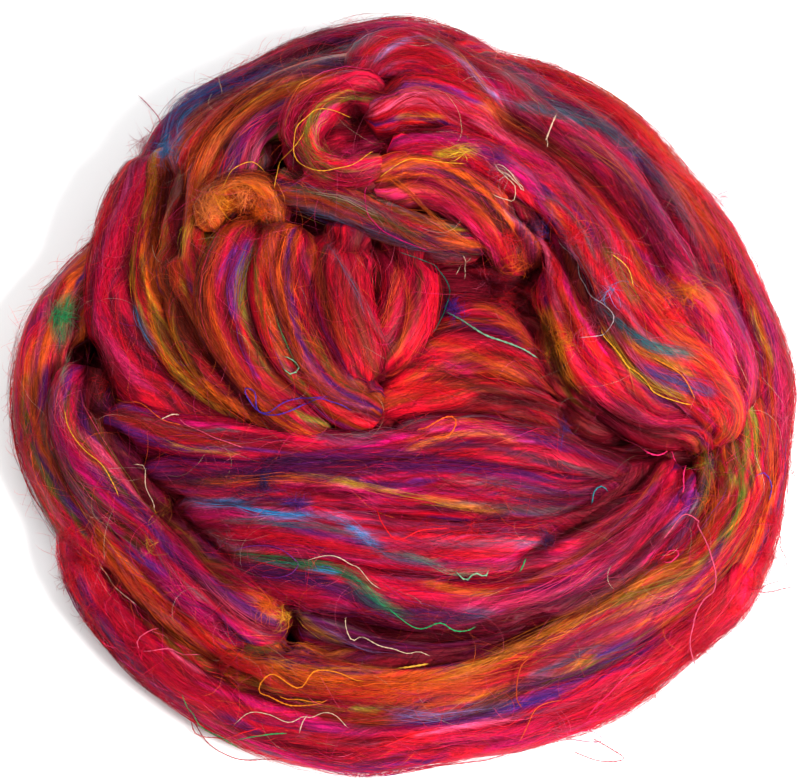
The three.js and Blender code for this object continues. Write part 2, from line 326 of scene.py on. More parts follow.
# Folds: name, width, thickness, palette and middle line (right and up in the picture, then height).
FOLDS = (
    ("rim_north", 17, 18, "plum", (
        (-86, 33, 9), (-79, 48, 9), (-71, 63, 9), (-65, 76, 9), (-51, 86, 9), (-28, 97, 9),
        (-14, 102, 9), (1, 104, 9), (15, 100, 9), (29, 91, 9))),
    ("rim_east", 20, 20, "bright", (
        (9, 100, 10), (26, 91, 10), (43, 88, 10), (56, 82, 10), (67, 73, 10), (77, 61, 10),
        (86, 52, 10), (95, 40, 10), (102, 23, 10), (107, 6, 10), (107, -12, 10), (106, -31, 10),
        (102, -46, 10), (94, -59, 10), (84, -70, 10))),
    ("rim_south", 22, 20, "rim", (
        (101, -49, 10), (95, -59, 10), (80, -73, 10), (60, -87, 10), (38, -94, 10), (14, -99, 10),
        (-9, -102, 10), (-31, -99, 10), (-50, -93, 10), (-67, -82, 10), (-79, -68, 10),
        (-88, -51, 10), (-91, -35, 10))),
    ("rim_west", 20, 20, "west", (
        (-62, 62, 13), (-76, 50, 12), (-90, 34, 11), (-101, 18, 11), (-105, 2, 11),
        (-105, -12, 11), (-100, -27, 11), (-89, -44, 12), (-75, -61, 13), (-59, -76, 13),
        (-40, -88, 11))),
    ("south_orange", 22, 19, "orange", (
        (-55, -79, 16), (-30, -85, 20), (-3, -87, 21), (21, -84, 21), (45, -76, 21),
        (69, -64, 20), (88, -49, 19), (99, -31, 18), (100, -13, 17), (94, 1, 15))),
    ("west_inner", 21, 18, "rose", (
        (-94, 8, 16), (-95, -8, 20), (-87, -25, 23), (-73, -41, 25), (-60, -55, 26),
        (-46, -66, 24), (-34, -74, 17))),
    ("west_middle", 14, 15, "ember", (
        (-97, -19, 16), (-87, -37, 18), (-75, -53, 19), (-58, -69, 20), (-41, -82, 17))),
    ("east_second", 19, 18, "dusk", (
        (17, 97, 20), (36, 85, 22), (54, 76, 22), (70, 61, 22), (82, 44, 22), (90, 28, 20),
        (97, 8, 18), (100, -11, 16))),
    ("west_red", 23, 19, "magenta", (
        (-67, 68, 16), (-78, 52, 18), (-83, 32, 20), (-80, 13, 22), (-67, -4, 24),
        (-48, -14, 26), (-24, -17, 28))),
    ("west_second", 15, 15, "ember", (
        (-69, 73, 20), (-72, 53, 23), (-73, 34, 26), (-68, 17, 28), (-55, 2, 30), (-38, -8, 32))),
    ("north_inner", 13, 15, "under", (
        (-67, 70, 17), (-57, 79, 19), (-43, 87, 20), (-23, 94, 20), (-3, 99, 18))),
    ("band_back", 17, 16, "band", (
        (-89, -8, 24), (-69, -13, 28), (-42, -17, 32), (-15, -19, 35), (12, -16, 36),
        (39, -17, 34), (60, -24, 30), (75, -32, 25))),
    ("band_crown", 19, 17, "band", (
        (-78, -26, 22), (-51, -27, 30), (-24, -29, 36), (3, -30, 38), (30, -32, 37),
        (54, -33, 32), (74, -30, 26))),
    ("band_middle", 19, 17, "magenta", (
        (-69, -37, 24), (-48, -40, 29), (-24, -43, 35), (0, -46, 37), (24, -48, 36),
        (48, -44, 33), (67, -35, 29), (82, -20, 24))),
    ("band_front", 19, 17, "band", (
        (-55, -50, 22), (-36, -55, 27), (-15, -59, 31), (6, -63, 33), (30, -63, 32),
        (53, -56, 30), (72, -42, 27), (87, -24, 22))),
    ("band_under", 13, 14, "under", (
        (-34, -66, 20), (-16, -74, 23), (6, -77, 24), (30, -74, 24), (53, -67, 23),
        (72, -54, 22), (86, -38, 21), (92, -17, 20))),
    ("east_hollow", 18, 15, "hollow", (
        (42, -12, 26), (63, -19, 22), (81, -16, 20), (94, -2, 18))),
    ("arc_outer", 20, 17, "ember", (
        (-2, 94, 36), (-23, 91, 38), (-41, 82, 37), (-55, 70, 36), (-62, 53, 36), (-62, 34, 36),
        (-55, 14, 36), (-41, -2, 35), (-21, -12, 33))),
    ("arc_inner", 13, 13, "rose", (
        (-14, 90, 42), (-32, 82, 44), (-44, 73, 44), (-49, 60, 42), (-50, 46, 40))),
    ("lobe_west", 19, 16, "lobe", (
        (-41, 50, 44), (-50, 32, 44), (-49, 14, 43), (-38, -1, 40), (-20, -11, 36))),
    ("lobe_middle", 20, 17, "lobe", (
        (-30, 50, 47), (-35, 32, 48), (-31, 14, 47), (-20, 1, 43), (-5, -8, 37))),
    ("lobe_east", 21, 17, "hump", (
        (-15, 50, 47), (-19, 33, 49), (-16, 17, 48), (-9, 2, 41))),
    ("lobe_edge", 24, 16, "hump", (
        (-4, 48, 44), (1, 34, 46), (0, 19, 44), (-9, 5, 38))),
    ("hump_back", 14, 14, "hump", (
        (10, 21, 36), (24, 24, 37), (37, 19, 36), (46, 7, 33))),
    ("hump_crown", 20, 17, "hump", (
        (-8, -1, 36), (6, 9, 39), (22, 13, 40), (39, 7, 38), (52, -5, 32))),
    ("hump_front", 16, 15, "hump", (
        (-15, -8, 34), (3, -2, 37), (22, 0, 37), (42, -4, 34), (60, -13, 28))),
    ("hollow_floor", 20, 16, "hollow", (
        (9, 38, 32), (24, 37, 32), (38, 32, 33), (48, 19, 32))),
    ("arm_outer", 20, 17, "magenta", (
        (-14, 91, 46), (-4, 98, 47), (9, 98, 47), (24, 89, 47), (39, 76, 46), (56, 64, 46),
        (70, 49, 45), (82, 32, 43), (91, 19, 37), (97, 4, 26), (97, -10, 16))),
    ("arm_crown", 21, 18, "bright", (
        (-11, 82, 50), (6, 85, 51), (24, 78, 51), (42, 66, 51), (56, 49, 50), (65, 31, 49),
        (76, 14, 47), (87, 3, 39), (94, -6, 27), (95, -15, 17))),
    ("arm_inner", 20, 17, "bright", (
        (38, 54, 42), (47, 39, 42), (53, 20, 43), (62, 4, 42), (75, -7, 37), (87, -9, 28),
        (93, -14, 18))),
    ("arm_flank", 15, 14, "ember", (
        (43, 32, 38), (47, 14, 38), (53, -2, 36), (66, -12, 31))),
    ("curl_floor", 22, 14, "curl", (
        (-34, 70, 42), (-18, 77, 43), (0, 80, 44), (16, 74, 44))),
    ("curl", 13, 13, "curl", (
        (-2, 88, 52), (-14, 89, 53), (-25, 85, 53), (-30, 76, 53), (-26, 67, 54), (-14, 64, 55),
        (-2, 68, 55))),
    ("brow", 12, 12, "brow", (
        (-38, 64, 49), (-23, 59, 52), (-8, 53, 53), (9, 46, 51), (26, 43, 44))),
    ("eye", 17, 14, "eye", (
        (-10, 63, 54), (8, 64, 55), (22, 58, 54), (34, 46, 48), (38, 35, 40))),
    ("lid", 14, 13, "magenta", (
        (-4, 72, 55), (10, 73, 57), (27, 68, 56), (40, 58, 52), (47, 46, 46))),
    ("tuft", 12, 9, "tuft", (
        (-54, 48, 45), (-57, 55, 47), (-49, 60, 49), (-40, 58, 49), (-37, 48, 46))),
)

# Lower turns of the sliver, under the upper ones and hidden from the front.
LOWER_FOLDS = (
    ("under_arm", 22, 20, "dusk", (
        (-34, 80, 26), (-16, 88, 29), (4, 90, 30), (22, 84, 30), (40, 72, 30), (56, 56, 29),
        (68, 38, 28))),
    ("under_arm_outer", 16, 15, "under", (
        (-20, 93, 22), (0, 98, 25), (18, 95, 27), (38, 84, 28), (56, 70, 27))),
    ("under_arc", 18, 17, "ember", (
        (-66, 58, 25), (-58, 70, 26), (-44, 80, 27), (-26, 87, 28))),
)

# Gaps between the folds: width in pixels, depth, darkness as painted shade, and a line through pixels of the
# photo. The wide shallow rows mostly paint shade over an area.
CREASES = (
    (30, 6.0, 0.99, ((490, 100), (514, 114), (548, 136), (582, 164), (614, 196), (640, 226), (660, 256),
                     (680, 296))),
    (16, 3.0, 0.6, ((505, 106), (540, 122), (566, 140))),
    (10, 4.5, 0.97, ((634, 150), (652, 176), (672, 210), (690, 240), (704, 264), (712, 296))),
    (14, 4.5, 0.88, ((508, 224), (526, 240), (535, 260), (530, 278), (514, 290))),
    (26, 5.5, 0.93, ((164, 158), (170, 190), (169, 225), (165, 262))),
    (20, 5.0, 0.72, ((352, 98), (352, 118), (356, 136), (366, 148))),
    (16, 4.0, 0.6, ((350, 94), (374, 88), (402, 86))),
    (6, 2.5, 0.7, ((396, 127), (420, 129), (448, 125))),
    (10, 3.0, 0.78, ((404, 34), (440, 38), (470, 54), (500, 80))),
    (14, 4.5, 0.76, ((282, 206), (306, 226), (340, 240), (372, 247), (410, 258), (450, 262), (500, 262))),
    (14, 4.0, 0.85, ((262, 146), (282, 152), (296, 166), (282, 182))),
    (12, 4.5, 0.9, ((500, 196), (524, 212), (545, 232), (562, 256), (580, 284), (592, 312))),
    (26, 6.0, 0.95, ((82, 338), (88, 366), (96, 396), (98, 414))),
    (15, 5.5, 0.93, ((100, 418), (116, 440), (132, 466), (150, 492), (172, 516), (198, 544), (222, 572),
                     (250, 602))),
    (16, 4.0, 0.85, ((140, 478), (162, 496), (190, 512))),
    (14, 4.5, 0.9, ((158, 286), (176, 312), (194, 342), (212, 368), (236, 398), (262, 428))),
    (6, 2.6, 0.7, ((262, 268), (270, 300), (280, 332), (294, 366), (312, 402))),
    (8, 3.0, 0.78, ((362, 392), (378, 382), (396, 368), (404, 352))),
    (8, 3.0, 0.78, ((340, 414), (372, 418), (402, 426), (430, 430))),
    (28, 6.0, 0.96, ((498, 402), (530, 406), (562, 412), (600, 428), (640, 442), (676, 442), (704, 424))),
    (18, 6.0, 0.95, ((664, 448), (640, 474), (612, 498), (584, 516), (560, 534), (538, 556), (512, 578))),
    (10, 4.0, 0.85, ((684, 510), (656, 540), (624, 574), (590, 596), (552, 610), (510, 622), (470, 634),
                     (420, 634),
               (370, 624), (330, 606))),
    (12, 4.5, 0.9, ((688, 424), (682, 450), (684, 480), (690, 506))),
    (12, 4.5, 0.9, ((300, 640), (340, 652), (390, 660), (440, 656), (490, 646), (530, 628), (565, 612))),
    (15, 4.5, 0.9, ((92, 556), (118, 592), (150, 622), (190, 650), (232, 674), (272, 692))),
    (8, 3.0, 0.78, ((198, 604), (222, 628), (246, 650), (272, 656))),
    (8, 4.0, 0.8, ((288, 600), (293, 620), (290, 644), (284, 656))),
    (20, 4.5, 0.9, ((446, 268), (470, 284), (500, 292))),
    (16, 4.5, 0.9, ((505, 288), (530, 318), (548, 350), (556, 384), (580, 402))),
    (90, 0.5, 0.8, ((590, 400), (620, 452), (602, 500), (560, 548))),
    (62, 0.5, 0.5, ((118, 440), (166, 490), (208, 540), (256, 592))),
    (34, 0.5, 0.5, ((286, 604), (350, 632), (420, 642), (500, 632), (566, 604))),
    (56, 0.5, 0.45, ((450, 272), (500, 288), (542, 300), (556, 344))),
    (34, 0.5, 0.5, ((462, 408), (510, 400), (564, 396))),
    (34, 0.5, 0.45, ((212, 384), (250, 416), (294, 442))),
    (30, 0.4, 0.4, ((196, 704), (260, 728), (330, 742), (404, 748))),
    (34, 0.4, 0.35, ((550, 236), (575, 286), (604, 330))),
    (40, 0.5, 0.4, ((80, 345), (92, 380), (104, 420))),
    (32, 3.0, 0.92, ((560, 406), (592, 424), (624, 440))),
)

# Streaks of one colour: colour, width, fullness, and a line through pixels of the photo. Maroon streaks that
# follow a gap are painted shade.
STREAKS = (
    # north rim
    ("pink", 9, 1.2, ((152, 150), (172, 108), (215, 82), (300, 46), (345, 30), (400, 22), (450, 32))),
    ("azure", 9, 2.4, ((157, 154), (166, 152), (178, 155))),
    ("azure", 11, 3.0, ((166, 154), (168, 138), (174, 116), (184, 102), (206, 92), (236, 82))),
    ("blue", 12, 2.6, ((164, 142), (174, 110), (200, 96), (226, 86), (252, 77), (288, 66))),
    ("azure", 5, 2.0, ((180, 148), (180, 128), (188, 112), (206, 100))),
    ("magenta", 6, 1.5, ((176, 104), (172, 122), (176, 142))),
    ("slate", 12, 1.8, ((255, 76), (290, 67), (320, 60), (345, 60))),
    ("teal", 9, 2.4, ((338, 50), (358, 42), (378, 36))),
    ("purple", 6, 1.8, ((300, 42), (322, 38), (345, 43), (362, 36), (382, 28), (404, 24))),
    ("magenta", 8, 1.5, ((370, 27), (392, 22), (412, 26))),
    ("red", 10, 1.6, ((330, 25), (380, 17), (430, 21), (480, 45), (520, 66))),
    ("smoke", 12, 1.6, ((500, 68), (522, 82), (548, 100))),
    ("rust", 14, 1.4, ((186, 145), (192, 122), (210, 108), (240, 96), (280, 86))),
    ("wine", 8, 1.6, ((198, 142), (210, 122), (236, 104))),
    ("plum", 10, 1.6, ((205, 108), (250, 90), (300, 72), (350, 62), (400, 56))),
    # west
    # painted shade along the gap beside it
    ("maroon", 10, 1.2, ((168, 160), (172, 200), (178, 245), (186, 280))),
    ("scarlet", 6, 1.4, ((122, 280), (118, 320), (138, 370), (180, 402))),
    ("azure", 5, 1.6, ((134, 304), (142, 328), (157, 352))),
    ("teal", 8, 1.5, ((132, 300), (142, 325), (156, 354))),
    ("olive", 9, 1.3, ((152, 290), (160, 330), (178, 372), (200, 400))),
    ("amber", 5, 1.8, ((150, 290), (152, 318), (162, 346), (178, 385))),
    ("green", 17, 2.6, ((74, 294), (64, 310), (60, 326), (66, 346))),
    ("jade", 7, 1.8, ((56, 300), (56, 322), (60, 340), (58, 356))),
    ("scarlet", 14, 2.2, ((50, 318), (36, 336), (28, 356), (24, 378))),
    ("orange", 7, 1.8, ((46, 336), (30, 348), (26, 374), (24, 400))),
    ("crimson", 9, 1.8, ((60, 272), (38, 310), (20, 352), (16, 404), (22, 456), (42, 500))),
    ("brown", 9, 1.8, ((40, 366), (34, 392), (36, 420))),
    ("violet", 7, 2.2, ((46, 366), (43, 390), (41, 410))),
    ("mint", 4, 2.0, ((73, 346), (66, 362), (61, 382))),
    ("smoke", 8, 1.4, ((60, 380), (53, 402), (52, 424))),
    ("jade", 6, 2.2, ((42, 408), (43, 428), (48, 448), (58, 462))),
    ("smoke", 8, 1.4, ((58, 470), (78, 492), (98, 520), (112, 540))),
    ("violet", 8, 1.4, ((62, 496), (78, 512), (92, 528))),
    # west lower
    ("violet", 9, 2.0, ((124, 548), (142, 560), (168, 576))),
    ("violet", 5, 2.4, ((190, 526), (206, 545), (216, 562))),
    ("navy", 3, 2.0, ((220, 608), (234, 632), (250, 640), (272, 639))),
    ("wine", 16, 2.2, ((256, 632), (276, 634), (288, 622))),
    ("crimson", 7, 2.0, ((240, 618), (262, 630), (284, 630))),
    ("olive", 9, 1.8, ((238, 646), (262, 650), (284, 645))),
    ("magenta", 13, 1.6, ((168, 535), (190, 560), (208, 590))),
    ("gold", 5, 2.0, ((158, 510), (180, 530), (200, 552), (216, 574), (240, 594))),
    ("orange", 12, 2.6, ((246, 588), (262, 600), (274, 614))),
    ("amber", 7, 2.4, ((262, 606), (276, 616), (288, 620))),
    ("olive", 7, 1.2, ((98, 430), (122, 468), (150, 508))),
    ("orange", 14, 1.6, ((88, 522), (112, 560), (150, 608), (200, 650), (258, 682))),
    ("rust", 12, 1.4, ((118, 558), (150, 600), (205, 645), (258, 676))),
    ("scarlet", 12, 1.4, ((150, 590), (190, 620), (225, 648), (262, 672))),
    ("rose", 11, 1.2, ((190, 570), (225, 600), (262, 625), (284, 634))),
    # arc
    ("orange", 20, 2.2, ((338, 76), (285, 90), (240, 116), (210, 150), (194, 196), (186, 250))),
    ("apricot", 9, 2.4, ((318, 80), (270, 94), (234, 120), (208, 158), (196, 200))),
    ("apricot", 5, 2.0, ((300, 76), (262, 86), (228, 106))),
    ("rust", 12, 1.8, ((250, 90), (216, 116), (192, 156), (180, 210))),
    ("mauve", 12, 1.6, ((268, 128), (250, 150), (236, 176))),
    ("pink", 7, 1.6, ((278, 112), (256, 122), (238, 138))),
    ("wine", 9, 1.4, ((348, 84), (312, 92), (282, 108))),
    ("gold", 5, 1.6, ((318, 80), (270, 92), (232, 118))),
    ("gold", 8, 1.8, ((196, 212), (185, 238), (182, 264))),
    ("sun", 5, 2.6, ((188, 226), (184, 238), (182, 250))),
    ("rust", 14, 2.0, ((182, 250), (180, 290), (196, 332), (226, 372))),
    ("rust", 12, 1.2, ((190, 230), (186, 280), (205, 330), (240, 380), (290, 415))),
    ("purple", 9, 1.4, ((266, 108), (238, 145), (222, 178))),
    ("magenta", 9, 1.6, ((290, 108), (258, 125), (238, 152))),
    ("rust", 22, 1.6, ((228, 216), (246, 202), (266, 204), (274, 226))),
    ("brown", 14, 1.8, ((262, 204), (274, 214), (276, 232))),
    ("apricot", 8, 2.0, ((206, 204), (222, 190), (246, 180), (266, 184), (280, 202), (276, 226))),
    ("amber", 4, 2.4, ((212, 198), (232, 188), (254, 188), (268, 200))),
    ("apricot", 24, 3.0, ((201, 213), (210, 206), (222, 208))),
    # lobes
    ("purple", 6, 1.7, ((300, 240), (308, 280), (322, 325), (342, 365), (362, 402))),
    ("smoke", 5, 1.6, ((325, 235), (350, 280), (370, 320), (395, 352))),
    ("scarlet", 10, 2.0, ((264, 262), (264, 300), (272, 345), (290, 390))),
    ("orange", 6, 2.0, ((266, 292), (270, 312), (276, 330))),
    ("slate", 4, 1.6, ((322, 238), (340, 262), (356, 292), (366, 322))),
    ("green", 3, 1.6, ((275, 310), (284, 340), (300, 372))),
    ("violet", 9, 2.4, ((250, 236), (240, 262), (232, 290), (236, 322))),
    ("violet", 6, 2.0, ((238, 246), (226, 264), (216, 284))),
    ("violet", 4, 1.5, ((236, 320), (246, 356), (262, 385))),
    ("brown", 9, 1.3, ((225, 280), (228, 330), (255, 385), (300, 420))),
    ("orange", 7, 1.4, ((205, 270), (215, 320), (240, 370), (280, 408))),
    ("red", 14, 1.2, ((352, 240), (362, 290), (372, 335), (380, 370))),
    ("orange", 6, 1.2, ((395, 262), (410, 300), (405, 335), (395, 360))),
    ("violet", 7, 2.0, ((446, 300), (452, 308), (458, 318))),
    ("wine", 16, 1.6, ((292, 244), (304, 290), (326, 340), (352, 384))),
    ("brown", 12, 1.6, ((336, 252), (350, 300), (362, 346), (374, 380))),
    ("rust", 10, 1.6, ((312, 262), (330, 310), (350, 356))),
    # curl, brow and eye
    ("olive", 8, 1.5, ((318, 112), (302, 138), (310, 166), (335, 182))),
    ("pink", 14, 1.4, ((340, 150), (360, 166), (385, 160))),
    ("pink", 20, 2.6, ((416, 178), (446, 196), (476, 218))),
    ("apricot", 4, 2.4, ((376, 172), (402, 184), (428, 212), (456, 236), (488, 250))),
    ("red", 12, 1.3, ((350, 100), (335, 120), (335, 145))),
    ("olive", 7, 1.5, ((282, 186), (330, 196), (380, 218), (430, 240))),
    ("cream", 3, 1.3, ((300, 190), (340, 198), (385, 216))),
    ("slate", 6, 1.6, ((285, 204), (330, 215), (380, 236), (430, 252), (480, 258))),
    ("crimson", 18, 1.8, ((404, 200), (440, 206), (480, 220))),
    ("rust", 12, 1.8, ((384, 182), (420, 188), (460, 200), (496, 222))),
    ("brown", 6, 1.6, ((376, 190), (404, 206), (438, 232), (470, 248))),
    ("navy", 4, 2.6, ((300, 206), (330, 220), (352, 226), (380, 237))),
    ("smoke", 7, 1.6, ((340, 196), (372, 206), (402, 222))),
    ("orange", 8, 1.6, ((370, 170), (400, 184), (425, 210), (450, 236), (485, 250))),
    ("orange", 6, 1.4, ((430, 176), (462, 196), (490, 226))),
    ("sun", 8, 3.2, ((434, 156), (452, 152), (476, 148))),
    ("purple", 12, 1.8, ((478, 152), (496, 156), (514, 166))),
    ("cream", 4, 1.3, ((492, 166), (506, 172), (520, 186))),
    ("slate", 6, 1.5, ((505, 210), (522, 224), (548, 232))),
    ("wine", 16, 2.4, ((508, 244), (518, 258), (530, 278))),
    ("scarlet", 8, 2.0, ((496, 238), (508, 252), (516, 270))),
    # arm and east
    ("lilac", 5, 2.0, ((374, 68), (384, 52), (400, 42), (420, 38), (444, 46), (466, 64), (490, 92),
                       (520, 104))),
    ("amber", 3, 2.2, ((412, 37), (436, 40), (455, 52), (476, 74), (492, 94))),
    ("scarlet", 16, 1.6, ((384, 66), (410, 56), (440, 60), (462, 78))),
    ("apricot", 9, 2.0, ((476, 100), (500, 114), (526, 130), (552, 148), (580, 170), (606, 196))),
    ("red", 12, 1.6, ((400, 106), (440, 108), (480, 118))),
    ("orange", 6, 1.8, ((470, 76), (488, 100), (506, 122), (536, 136))),
    ("amber", 5, 2.0, ((396, 117), (420, 115), (448, 117))),
    ("orange", 6, 1.8, ((552, 72), (600, 88), (640, 124), (664, 150), (690, 176), (708, 194))),
    ("scarlet", 14, 1.8, ((585, 96), (622, 118), (650, 148), (680, 172), (706, 200))),
    ("red", 14, 1.5, ((540, 88), (580, 100), (612, 116), (636, 140))),
    ("rose", 12, 1.6, ((706, 192), (722, 208), (738, 226))),
    ("orange", 12, 1.6, ((664, 168), (690, 200), (712, 226), (732, 250))),
    ("rust", 12, 1.4, ((654, 166), (676, 200), (700, 236), (716, 262))),
    ("orange", 5, 1.8, ((566, 126), (600, 150), (636, 188), (660, 230))),
    ("purple", 8, 1.6, ((608, 158), (640, 190), (668, 236))),
    ("teal", 9, 2.2, ((506, 104), (540, 110), (580, 120), (606, 130), (632, 154))),
    ("plum", 14, 2.0, ((530, 96), (566, 106), (600, 122), (636, 150), (664, 190))),
    ("plum", 10, 2.0, ((560, 140), (596, 156), (628, 186), (652, 222), (676, 268))),
    ("scarlet", 10, 1.3, ((500, 130), (550, 146), (594, 176), (622, 208), (646, 252), (660, 290))),
    ("red", 8, 1.8, ((506, 142), (556, 160), (598, 190), (622, 224), (642, 262))),
    ("magenta", 9, 1.8, ((514, 150), (546, 162), (580, 186))),
    ("orange", 5, 2.0, ((566, 168), (604, 206), (630, 246), (644, 288))),
    ("brown", 12, 1.6, ((540, 186), (576, 206), (598, 240), (610, 276))),
    ("purple", 6, 1.6, ((524, 184), (556, 196), (586, 222), (600, 250))),
    ("smoke", 5, 1.6, ((530, 192), (560, 204), (584, 232), (596, 262))),
    ("mauve", 12, 1.4, ((520, 168), (556, 182), (590, 208), (612, 244), (628, 290))),
    ("olive", 9, 1.8, ((604, 246), (616, 268), (628, 292), (640, 308))),
    ("scarlet", 8, 1.4, ((560, 220), (576, 240), (592, 270))),
    ("orange", 12, 1.8, ((652, 300), (676, 288), (704, 296), (716, 318))),
    ("scarlet", 14, 1.6, ((648, 320), (680, 312), (712, 332))),
    ("olive", 4, 1.6, ((672, 326), (690, 326), (716, 334))),
    ("slate", 8, 1.8, ((505, 100), (555, 112), (600, 124), (640, 158), (676, 204), (700, 250))),
    ("amber", 3, 1.8, ((568, 136), (588, 150), (617, 172), (640, 198))),
    ("mauve", 16, 1.8, ((560, 134), (600, 150), (636, 186), (662, 226), (686, 272))),
    ("purple", 8, 1.6, ((640, 182), (664, 216), (688, 256), (700, 282))),
    ("blue", 4, 1.8, ((628, 152), (640, 164), (652, 178))),
    ("maroon", 9, 1.5, ((600, 168), (640, 208), (680, 256), (706, 296))),
    ("smoke", 6, 1.3, ((540, 200), (575, 245), (600, 290), (615, 330))),
    ("lilac", 4, 1.3, ((560, 240), (578, 262), (588, 290), (612, 312))),
    ("amber", 16, 2.6, ((545, 304), (550, 332), (558, 360), (572, 392))),
    ("apricot", 6, 2.0, ((542, 316), (548, 346), (560, 376))),
    ("gold", 8, 2.4, ((548, 318), (553, 348), (564, 378))),
    ("teal", 13, 2.4, ((592, 302), (612, 318), (632, 336), (658, 350), (700, 355))),
    ("mint", 4, 1.8, ((640, 344), (664, 348), (694, 356))),
    ("sun", 7, 2.2, ((600, 325), (620, 352), (637, 374), (660, 387), (694, 402))),
    ("gold", 6, 2.2, ((624, 334), (640, 350), (662, 360), (700, 378))),
    ("blue", 11, 2.6, ((634, 364), (660, 376), (690, 386), (718, 393))),
    ("maroon", 12, 1.6, ((600, 300), (616, 324), (632, 350))),
    ("slate", 9, 1.5, ((650, 372), (682, 384), (718, 396))),
    ("orange", 5, 1.6, ((620, 335), (642, 350), (690, 366))),
    ("pink", 16, 1.4, ((585, 380), (610, 405), (645, 425), (690, 415))),
    ("gold", 7, 2.4, ((750, 302), (760, 332), (770, 352), (774, 368))),
    ("magenta", 6, 2.0, ((738, 300), (752, 336), (766, 366))),
    ("purple", 12, 1.5, ((730, 296), (740, 320), (748, 344))),
    ("orange", 4, 2.4, ((742, 366), (756, 398), (768, 426), (771, 470), (766, 516), (748, 566),
                        (722, 600))),
    ("orange", 6, 1.4, ((735, 262), (752, 300), (764, 345), (772, 400), (772, 450), (768, 500))),
    ("purple", 7, 1.2, ((748, 300), (762, 360), (766, 420), (758, 490))),
    ("pink", 12, 1.3, ((700, 200), (738, 258), (768, 320), (782, 400), (778, 470))),
    # hump
    ("orange", 8, 1.8, ((420, 344), (450, 346), (480, 358), (512, 372), (530, 386))),
    ("scarlet", 12, 1.8, ((430, 338), (466, 344), (500, 362))),
    ("brown", 5, 2.2, ((396, 372), (420, 365), (452, 372), (486, 388), (530, 402))),
    ("pink", 9, 1.8, ((440, 362), (458, 368), (474, 374))),
    ("scarlet", 20, 2.2, ((380, 392), (410, 388), (440, 392), (470, 402))),
    ("purple", 7, 1.8, ((458, 322), (482, 328), (508, 334), (520, 344))),
    # painted shade along the gaps beside these two maroon rows
    ("maroon", 14, 2.0, ((470, 398), (500, 400), (540, 404))),
    ("maroon", 12, 1.8, ((452, 262), (470, 275), (492, 286), (520, 300))),
    ("orange", 8, 1.8, ((470, 305), (490, 308), (512, 322), (532, 352))),
    # painted shade along the gap beside it
    ("maroon", 30, 3.0, ((556, 406), (590, 422), (624, 440))),
    # middle band
    ("rust", 12, 1.4, ((104, 412), (150, 424), (200, 440), (250, 448))),
    ("gold", 3, 1.5, ((150, 434), (180, 447), (210, 452), (240, 455))),
    ("plum", 22, 1.8, ((150, 466), (210, 468), (262, 474), (310, 466), (380, 462))),
    ("purple", 9, 2.0, ((280, 462), (320, 456), (360, 460), (410, 466), (470, 468), (520, 474),
                        (560, 482))),
    ("purple", 12, 1.6, ((150, 458), (210, 462), (262, 470), (310, 462), (380, 452), (450, 460))),
    ("navy", 8, 3.0, ((262, 490), (265, 474), (278, 463), (300, 457))),
    ("navy", 3, 1.8, ((178, 484), (215, 486), (250, 478))),
    # painted shade along the gap beside it
    ("maroon", 16, 1.8, ((140, 500), (180, 520), (215, 545), (250, 585))),
    ("plum", 16, 1.6, ((170, 480), (220, 490), (262, 492))),
    ("wine", 16, 1.7, ((220, 566), (262, 584), (310, 590), (350, 600))),
    ("purple", 10, 1.5, ((380, 470), (440, 466), (500, 478), (560, 492), (610, 500))),
    ("pink", 10, 1.4, ((400, 430), (440, 424), (490, 432), (540, 444))),
    ("orange", 6, 1.5, ((402, 444), (430, 430), (460, 422), (500, 432), (522, 448))),
    ("gold", 4, 2.2, ((282, 476), (320, 476), (360, 486), (400, 493), (445, 502), (480, 508), (520, 514))),
    ("sun", 6, 2.0, ((334, 479), (348, 483), (364, 487))),
    ("apricot", 6, 2.4, ((428, 498), (460, 504), (496, 511))),
    ("apricot", 4, 2.0, ((282, 477), (300, 477))),
    ("apricot", 5, 1.8, ((404, 452), (430, 441), (460, 434), (492, 434), (520, 444))),
    ("orange", 8, 1.4, ((190, 484), (240, 482), (290, 480), (350, 488))),
    ("azure", 9, 2.2, ((176, 499), (210, 504), (235, 504), (252, 511), (282, 516), (325, 517))),
    ("sky", 5, 1.6, ((176, 500), (210, 504), (235, 503), (262, 512), (324, 516))),
    ("sky", 7, 3.6, ((320, 514), (340, 519), (354, 529), (366, 539), (380, 548))),
    ("slate", 5, 2.0, ((366, 538), (378, 548), (390, 557), (412, 561), (440, 565))),
    ("teal", 6, 1.6, ((218, 521), (250, 520), (282, 524), (320, 527), (356, 536))),
    ("violet", 11, 2.4, ((284, 501), (298, 505), (314, 508))),
    ("red", 11, 1.8, ((228, 528), (262, 535), (310, 541), (360, 548))),
    ("scarlet", 8, 2.0, ((262, 534), (300, 540), (348, 544))),
    ("wine", 18, 1.5, ((300, 486), (330, 492), (352, 500))),
    ("pink", 14, 1.5, ((330, 488), (356, 494), (384, 504))),
    ("wine", 16, 1.5, ((372, 514), (400, 522), (440, 520))),
    ("mauve", 10, 1.6, ((378, 542), (410, 546), (440, 548))),
    ("plum", 9, 1.4, ((240, 542), (280, 548), (330, 554), (372, 566))),
    ("smoke", 8, 1.6, ((206, 530), (222, 542), (240, 549))),
    ("green", 9, 2.4, ((225, 552), (260, 556), (300, 564), (330, 568), (360, 580), (385, 606), (420, 622))),
    ("teal", 6, 2.0, ((236, 554), (262, 560), (292, 564), (312, 566))),
    ("sky", 5, 2.8, ((312, 568), (324, 570), (336, 573))),
    ("jade", 11, 2.2, ((340, 570), (354, 582), (366, 596), (384, 609))),
    ("purple", 8, 1.6, ((240, 572), (280, 578), (320, 586), (352, 600))),
    ("magenta", 8, 1.4, ((290, 588), (330, 596), (360, 610))),
    ("slate", 8, 1.6, ((385, 553), (415, 558), (445, 570))),
    ("mint", 4, 2.0, ((395, 553), (425, 560), (455, 573), (488, 571))),
    ("slate", 9, 1.4, ((420, 540), (460, 544), (520, 542), (560, 548))),
    ("scarlet", 5, 1.8, ((395, 538), (430, 530), (470, 534), (500, 546))),
